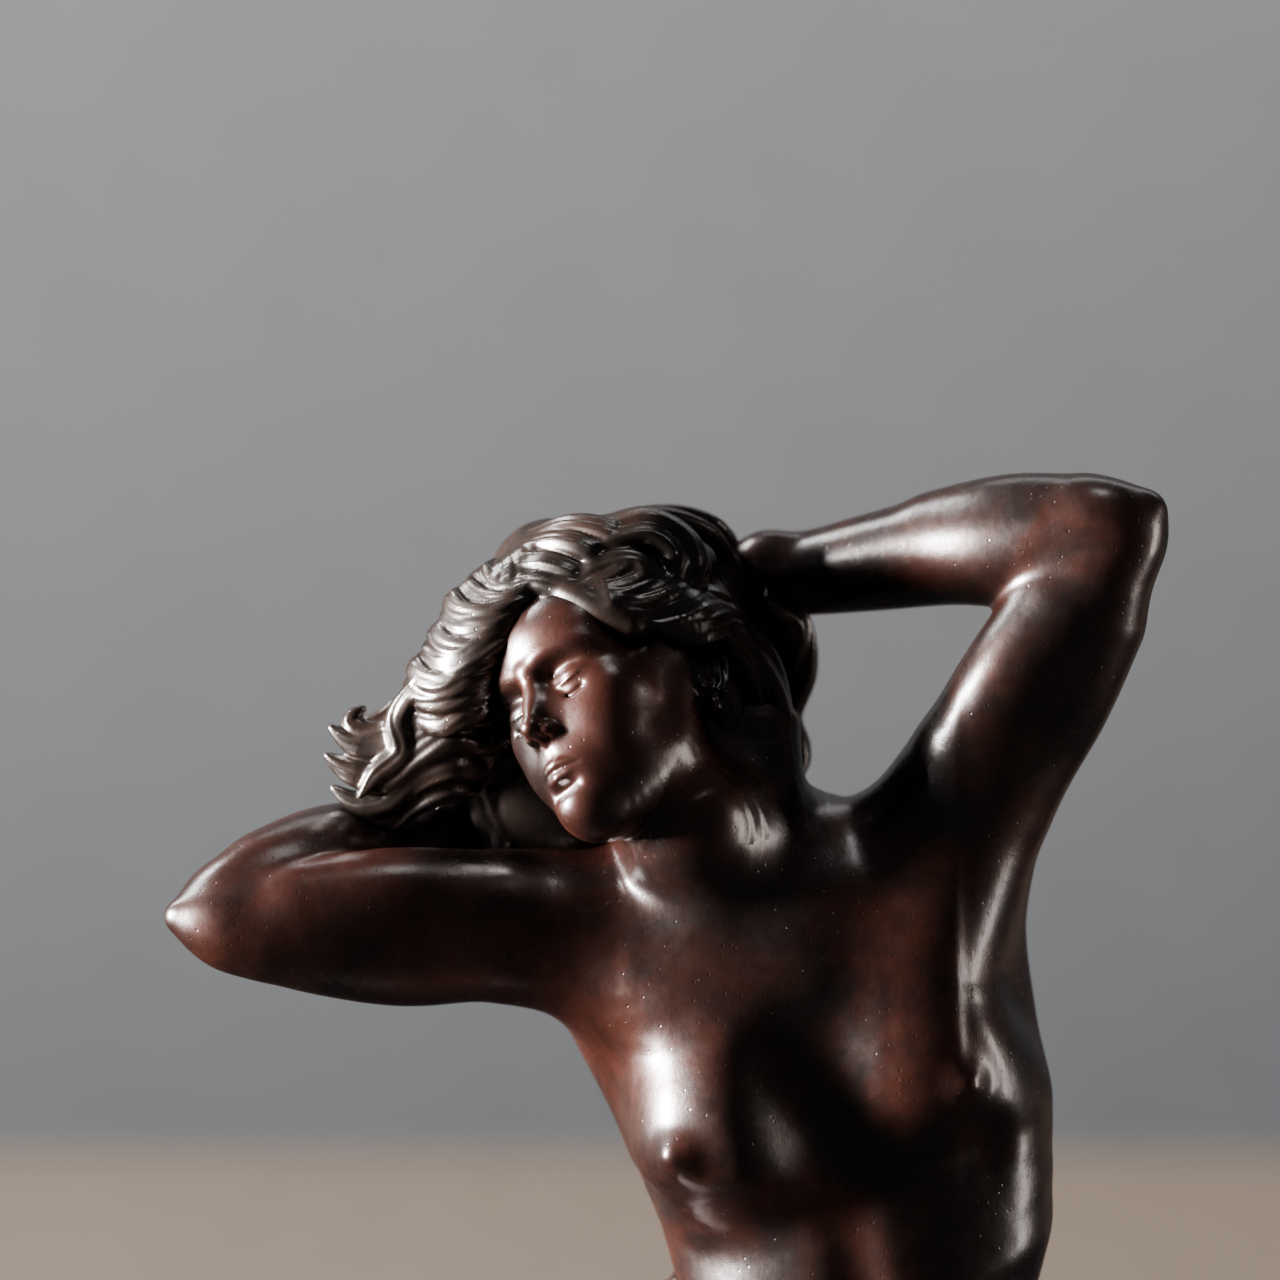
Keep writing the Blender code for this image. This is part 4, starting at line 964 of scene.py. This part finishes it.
def build_ground():
    (cx, cy), (low, high) = ROD_IN_FIGURE, levels_of("ground_casting")
    angle = ring(int(420 / FINE))
    wander = 1.4 * np.sin(3 * angle + 0.6) + 0.8 * np.sin(7 * angle) + 0.4 * np.sin(13 * angle + 1)
    # where along the outline, share of the radius there, share of the height there
    outline = vec((0, 0.07, 0), (0.28, 1.0, 0), (0.30, 1.0, 0.10), (0.42, 0.985, 0.62), (0.5, 0.955, 0.88),
                  (0.56, 0.93, 1.0), (1, 0.07, 1.0))
    share = np.linspace(0, 1, int(150 / FINE))[:, None]
    reach, level = (np.interp(share, outline[:, 0], outline[:, i]) for i in (1, 2))
    radius = reach * (53.4 + wander)
    z = low + level * (high - low) + 0 * angle
    grid = np.stack([cx + radius * np.cos(angle), cy + radius * np.sin(angle), z], -1)
    points = grid.reshape(-1, 3)
    rough = np.array([noise.ridged_multi_fractal(Vector(p) * 0.085, 0.9, 2.1, 5, 0.9, 2.0) for p in points])
    fine = np.array([noise.fractal(Vector(p) * 0.5, 0.8, 2.0, 4) for p in points])
    clods = np.array([noise.cell_vector(Vector(p) * 0.11)[0] for p in points])
    bump = (0.75 * (rough - 1.3) + 0.35 * fine + 0.35 * (clods - 0.5))
    on_top = (level * np.ones_like(angle)).reshape(-1)
    out = points[:, :2] - vec(cx, cy)
    out = out / np.maximum(np.linalg.norm(out, axis=1, keepdims=True), 1)
    side = np.clip(on_top * 4, 0, 1) * np.clip((1.02 - on_top) * 3, 0, 1)
    points[:, :2] += out * (side * bump * 0.8)[:, None]
    foot_room = np.clip((np.hypot(points[:, 0] - 3, (points[:, 1] - 2) * 1.15) - 36) / 8, 0.12, 1)
    points[:, 2] += np.where(on_top > 0.3, on_top * np.minimum(bump * foot_room, 1.6), 0)
    turned_piece("ground", grid, "ground_casting", "ground_bronze", GROUND_BRONZE)


PLINTH_HEIGHT = 40.0
# (radius, height) runs from the top down; a run of more than three points is one smooth moulding
PLINTH_PROFILE = """
0 40, 30 40, 58.6 40
58.6 40, 60.4 39.5, 61.1 38.1, 60.6 36.7, 59.2 36
59.2 36, 57.6 36
57.6 36, 57.6 34.2
57.6 34.2, 56.6 33.4, 55.8 30, 55.5 26, 56 22, 57.6 18.6, 60.4 16.4
60.4 16.4, 60.6 16.4, 60.6 14.8
60.6 14.8, 62.6 14.2, 64.2 12.6, 64.9 10.4, 64.4 8.2, 63.2 7.2
63.2 7.2, 66 7.2
66 7.2, 66 0.5
66 0.5, 65.5 0, 60 0
"""


def eased(points, size):
    """The outline with each sharp corner rounded by about size."""
    soft = [points[0]]
    for before, corner, after in zip(points, points[1:], points[2:]):
        a, b = before - corner, after - corner
        la, lb = np.linalg.norm(a), np.linalg.norm(b)
        if (a @ b) / (la * lb) < -0.94:
            soft.append(corner)
            continue
        a, b = a / la * min(size, la * 0.45), b / lb * min(size, lb * 0.45)
        soft += [corner + a, corner + (a + b) * 0.29, corner + b]
    return np.array(soft + [points[-1]])


def build_plinth():
    (cx, cy), (low, high) = ROD_IN_FIGURE, levels_of("plinth")
    outline = []
    for line in PLINTH_PROFILE.strip().splitlines():
        run = rows(line)
        if len(run) > 3:
            run = smooth_line([(r, 0, h) for r, h in run], 6)[:, [0, 2]]
        outline += [p for p in run if not outline or np.linalg.norm(p - outline[-1]) > 1e-3]
    outline = eased(np.array(outline), 0.45)[::-1]
    angle = ring(int(288 / FINE))
    radius, height = outline[:, :1], outline[:, 1:]
    z = low + height * (high - low) / PLINTH_HEIGHT + 0 * angle
    grid = np.stack([cx + radius * np.cos(angle), cy + radius * np.sin(angle), z], -1)
    turned_piece("plinth_stone", grid, "plinth", "plinth_marble", MARBLE)


# ---- materials ----

class Looks:
    """A node material that is put together link by link."""

    def __init__(self, name, metallic=0.0):
        self.made = bpy.data.materials.new(name)
        self.made.use_nodes = True
        self.tree = self.made.node_tree
        self.shader = self.tree.nodes["Principled BSDF"]
        self.set("Metallic", metallic)
        sized = self.node("ShaderNodeVectorMath", operation="SCALE")
        self.feed(sized, 0, self.node("ShaderNodeTexCoord").outputs["Object"])
        self.feed(sized, "Scale", 1 / MM)
        self.place = sized.outputs[0]  # the place in millimetres

    def node(self, kind, **settings):
        made = self.tree.nodes.new(kind)
        for name, value in settings.items():
            setattr(made, name, value)
        return made

    def feed(self, node, name, value):
        if isinstance(value, bpy.types.NodeSocket):
            self.tree.links.new(value, node.inputs[name])
        else:
            node.inputs[name].default_value = value

    def feed_all(self, node, **values):
        for name, value in values.items():
            self.feed(node, name, value)

    def set(self, name, value):
        self.feed(self.shader, name, value)

    def noise(self, size, detail=4.0, rough=0.55, warp=0.0, stretch=None):
        """Noise whose blotches are about size millimetres across."""
        place = self.place
        if stretch:
            scaled = self.node("ShaderNodeVectorMath", operation="MULTIPLY")
            self.feed(scaled, 0, place)
            self.feed(scaled, 1, stretch)
            place = scaled.outputs[0]
        made = self.node("ShaderNodeTexNoise")
        self.feed_all(made, Vector=place, Scale=1 / size, Detail=detail, Roughness=rough, Distortion=warp)
        return made.outputs["Fac"]

    def cells(self, size):
        made = self.node("ShaderNodeTexVoronoi")
        self.feed_all(made, Vector=self.place, Scale=1 / size)
        return made.outputs["Distance"]

    def band(self, value, low, high, to_low=0.0, to_high=1.0):
        """value from low..high mapped to to_low..to_high and held there."""
        made = self.node("ShaderNodeMapRange", interpolation_type="SMOOTHSTEP")
        names = "Value", "From Min", "From Max", "To Min", "To Max"
        for name, number in zip(names, (value, low, high, to_low, to_high)):
            self.feed(made, name, number)
        return made.outputs["Result"]

    def maths(self, operation, a, b):
        made = self.node("ShaderNodeMath", operation=operation)
        self.feed(made, 0, a)
        self.feed(made, 1, b)
        return made.outputs[0]

    def times(self, a, b):
        return self.maths("MULTIPLY", a, b)

    def plus(self, a, b):
        return self.maths("ADD", a, b)

    def mix(self, share, a, b):
        made = self.node("ShaderNodeMix", data_type="RGBA")
        self.feed(made, "Factor", share)
        for name, value in ((6, a), (7, b)):
            self.feed(made, name, (*value, 1) if isinstance(value, tuple) else value)
        return made.outputs[2]

    def bumps(self, *layers):
        """The normal over (height value, depth in millimetres) layers."""
        normal = None
        for height, depth in layers:
            made = self.node("ShaderNodeBump")
            self.feed_all(made, Distance=depth * MM, Height=height)
            if normal is not None:
                self.feed(made, "Normal", normal)
            normal = made.outputs["Normal"]
        self.set("Normal", normal)
        return normal


def bronze(name, dark, red, wear_and_sheen, roughness, grit):
    """Lacquered brown bronze: warm where handled, with painted shade in the hollows, dust and fine marks; on the hair
    the pale wear colour is also a painted sheen.
    """
    looks = Looks(name, 0.55)
    blotches = looks.band(looks.noise(26, 5, 0.6, 0.6), 0.36, 0.66)
    cloud = looks.band(looks.noise(5.5, 6, 0.62, 0.4), 0.40, 0.70)
    colour = looks.mix(blotches, dark, red)
    colour = looks.mix(looks.times(cloud, 0.45), colour, tuple(c * 0.5 for c in dark))
    # painted shade: where ambient occlusion finds a hollow, the colour is darkened nearly to black, and there the coat
    # goes and the surface grows rougher
    open_air = looks.node("ShaderNodeAmbientOcclusion", samples=4)
    looks.feed(open_air, "Distance", 4.0 * MM)
    hollow = looks.band(open_air.outputs["AO"], 0.15, 0.75)
    colour = looks.mix(hollow, tuple(c * 0.22 for c in dark), colour)
    edge = looks.band(looks.node("ShaderNodeNewGeometry").outputs["Pointiness"], 0.515, 0.60)
    # the rubbed edges take the wear colour; on the hair this pale colour is also a painted silvery sheen
    rubbed_and_sheen = looks.times(edge, looks.band(looks.noise(9, 4), 0.38, 0.62))
    colour = looks.mix(looks.times(rubbed_and_sheen, 0.55), colour, wear_and_sheen)
    specks = looks.times(looks.band(looks.cells(2.6), 0.075, 0.03), looks.band(looks.noise(14, 3), 0.50, 0.62))
    colour = looks.mix(looks.times(specks, 0.4), colour, (0.34, 0.31, 0.28))
    looks.set("Base Color", colour)
    rough = looks.plus(looks.times(looks.noise(3.2, 5, 0.6), 0.16), roughness - 0.08)
    rough = looks.plus(rough, looks.times(looks.band(hollow, 0, 1, 1, 0), 0.22))
    looks.set("Roughness", looks.plus(rough, looks.times(specks, 0.3)))
    rim = looks.band(looks.node("ShaderNodeLayerWeight").outputs["Facing"], 0.45, 0.95, 0.95, 0.2)
    looks.set("Coat Weight", looks.times(hollow, rim))
    looks.set("Specular Tint", (0.45, 0.33, 0.28, 1.0))
    looks.set("Coat Roughness", looks.plus(looks.times(looks.noise(2.2, 5, 0.65), 0.18), 0.17))
    looks.set("Coat IOR", 1.7)
    brushed, grain = looks.noise(0.55, 3, 0.6, 0.0, (1.0, 1.0, 0.22)), looks.noise(0.28, 3, 0.6)
    pits = looks.band(looks.band(looks.cells(1.9), 0.16, 0.05), 0, 1, 1, 0)
    normal = looks.bumps(
        (brushed, 0.010 * grit), (grain, 0.012 * grit), (looks.noise(2.4, 4), 0.05 * grit), (pits, 0.03 * grit),
    )
    looks.set("Coat Normal", normal)
    return looks.made


def marble():
    """Polished black marble with thin pale veins."""
    looks = Looks("black_marble")
    cloud = looks.band(looks.noise(22, 6, 0.65, 1.2), 0.35, 0.75)
    colour = looks.mix(cloud, (0.006, 0.006, 0.0065), (0.022, 0.021, 0.022))
    for size, width, strength in ((34, 0.010, 0.75), (13, 0.012, 0.35)):
        wander = looks.noise(size, 7, 0.62, 1.4)
        line = looks.band(looks.maths("ABSOLUTE", looks.maths("SUBTRACT", wander, 0.5), 0), width, 0.0)
        broken = looks.band(looks.noise(size * 0.8, 3), 0.45, 0.62)
        colour = looks.mix(looks.times(looks.times(line, broken), strength), colour, (0.46, 0.44, 0.41))
    dust = looks.times(looks.band(looks.cells(3.1), 0.08, 0.04), 0.4)
    looks.set("Base Color", looks.mix(dust, colour, (0.35, 0.33, 0.30)))
    smear = looks.plus(looks.times(looks.noise(8, 6, 0.65, 0.5), 0.20), 0.05)
    looks.set("Roughness", looks.plus(smear, looks.times(dust, 0.5)))
    looks.bumps((looks.noise(6, 4), 0.02), (looks.noise(0.6, 3), 0.006))
    return looks.made


def felt():
    looks = Looks("green_felt")
    colour = looks.mix(looks.band(looks.noise(7, 5, 0.65), 0.3, 0.7), (0.010, 0.030, 0.020), (0.024, 0.058, 0.038))
    fluff = looks.noise(0.5, 5, 0.75, 1.0)
    looks.set("Base Color", looks.mix(looks.band(fluff, 0.55, 0.8, 0, 0.5), colour, (0.07, 0.11, 0.085)))
    looks.set("Roughness", looks.plus(looks.times(fluff, 0.1), 0.85))
    looks.set("Sheen Weight", 0.3)
    looks.bumps((fluff, 0.15), (looks.noise(2.4, 5), 0.2))
    return looks.made


def steel():
    looks = Looks("zinc_steel", 1.0)
    colour = looks.mix(looks.band(looks.noise(2.6, 5, 0.6), 0.35, 0.65), (0.42, 0.42, 0.41), (0.58, 0.57, 0.54))
    rust = looks.times(looks.band(looks.noise(3.4, 6, 0.7), 0.60, 0.72), 0.7)
    looks.set("Base Color", looks.mix(rust, colour, (0.11, 0.048, 0.022)))
    rough = looks.plus(looks.times(looks.noise(1.2, 4), 0.25), 0.2)
    looks.set("Roughness", looks.plus(rough, looks.times(rust, 0.5)))
    looks.bumps((looks.noise(0.25, 3, 0.5, 0.0, (1.0, 1.0, 0.1)), 0.012), (rust, 0.03))
    return looks.made


def surface(name, dark, light, roughness, grain):
    looks = Looks(name)
    looks.set("Base Color", looks.mix(looks.band(looks.noise(grain * 9, 5, 0.6), 0.3, 0.7), dark, light))
    looks.set("Roughness", looks.plus(looks.times(looks.noise(grain), 0.1), roughness))
    looks.bumps((looks.noise(grain, 4), grain * 0.02))
    return looks.made


BRONZE = bronze("figure_bronze", (0.0095, 0.0038, 0.0028), (0.050, 0.0115, 0.0062), (0.10, 0.045, 0.028), 0.40, 1.0)
# the hair's pale, silvery wear colour is partly wear and partly a painted sheen on the crests of the locks
HAIR_BRONZE = bronze("hair_bronze", (0.0115, 0.0070, 0.0051), (0.029, 0.0142, 0.0092), (0.24, 0.21, 0.16), 0.36, 0.8)
GROUND_BRONZE = bronze("ground_bronze", (0.026, 0.0115, 0.0080), (0.060, 0.020, 0.0125), (0.19, 0.09, 0.055), 0.48, 2.6)
MARBLE = marble()


def dress_fasteners():
    """The CAD's hidden fasteners and the felt are kept and get the looks of their slots."""
    finishes = {"felt_pad": felt()}
    metal = steel()
    for name in (
        "felt_pad", "tie_rod", "tie_rod_washer", "tie_rod_nut", "neck_pin", "right_shoulder_pin", "left_shoulder_pin",
        "waist_pin", "locating_pin_1", "locating_pin_2", "drapery_screw_1", "drapery_screw_2", "drapery_screw_3",
    ):
        materials = bpy.data.objects[name].data.materials
        materials.clear()
        materials.append(finishes.get(name, metal))


# ---- stage, light and camera ----

def added(name, data, location):
    thing = bpy.data.objects.new(name, data)
    bpy.context.scene.collection.objects.link(thing)
    thing.location = location
    return thing


def area(name, location, target, size, energy, colour=(1, 1, 1), spread=180):
    light = bpy.data.lights.new(name, "AREA")
    light.shape = "RECTANGLE"
    light.size, light.size_y = size
    light.energy = energy
    light.spread = math.radians(spread)
    light.color = colour
    lamp = added(name, light, location)
    lamp.rotation_euler = (Vector(target) - Vector(location)).to_track_quat("-Z", "Y").to_euler()


TABLE_FRONT, TABLE_END, WALL = 1.0, 2.27, 3.2


def set_stage():
    """A table that ends before a wall. Only its far part is seen in reflections."""
    table = surface("table", (0.37, 0.275, 0.21), (0.45, 0.335, 0.26), 0.6, 4)
    wall = surface("wall", (0.40, 0.41, 0.425), (0.43, 0.44, 0.455), 0.8, 6)
    for name, wide, low, high, finish in (
        ("floor", 4, (TABLE_FRONT, 0), (TABLE_END, 0), table),
        ("floor_front", 9, (-9, 0), (TABLE_FRONT, 0), table),
        ("backdrop", 6, (WALL, -1.5), (WALL, 4), wall),
    ):
        mesh = bpy.data.meshes.new(name)
        mesh.from_pydata([(-wide, *low), (wide, *low), (wide, *high), (-wide, *high)], [], [(0, 1, 2, 3)])
        mesh.materials.append(finish)
        sheet = added(name, mesh, (0, 0, 0))
        sheet.visible_glossy = name != "floor_front"


def set_camera():
    camera = bpy.data.cameras.new("camera")
    camera.lens = 116
    camera.sensor_width = 36
    camera.dof.use_dof = True
    camera.dof.focus_object = added("focus", None, on_figure(-20, -17, 290))
    camera.dof.aperture_fstop = 9
    eye = added("camera", camera, on_figure(-24, -620, 309))
    eye.rotation_euler = (math.radians(90), 0, 0)
    bpy.context.scene.camera = eye


def set_light():
    world = bpy.data.worlds.new("studio")
    bpy.context.scene.world = world
    world.use_nodes = True
    background = world.node_tree.nodes["Background"]
    background.inputs["Color"].default_value = (0.55, 0.56, 0.58, 1)
    background.inputs["Strength"].default_value = 0.05
    middle = on_figure(0, 0, 280)
    area("key", middle + Vector((-0.86, -0.10, 0.11)), middle, (0.24, 0.36), 18, spread=70)
    area("rim", middle + Vector((0.80, -0.04, 0.02)), middle, (0.12, 0.5), 2.2, (1, 0.92, 0.87))
    area("top", middle + Vector((0.10, -0.20, 0.95)), middle, (0.22, 0.22), 0.7)
    area("wall_light", (0.75, 1.6, 2.6), (0.75, WALL, 0.6), (3, 1), 35)
    area("table_light", (-1.6, 0.9, 2.0), (-1.2, 1.9, 0), (1.0, 0.5), 60)


for build in (build_body, build_head, build_hair, build_cloth, build_roll, build_feet, build_ground, build_plinth):
    build()
dress_fasteners()
set_stage()
set_camera()
set_light()
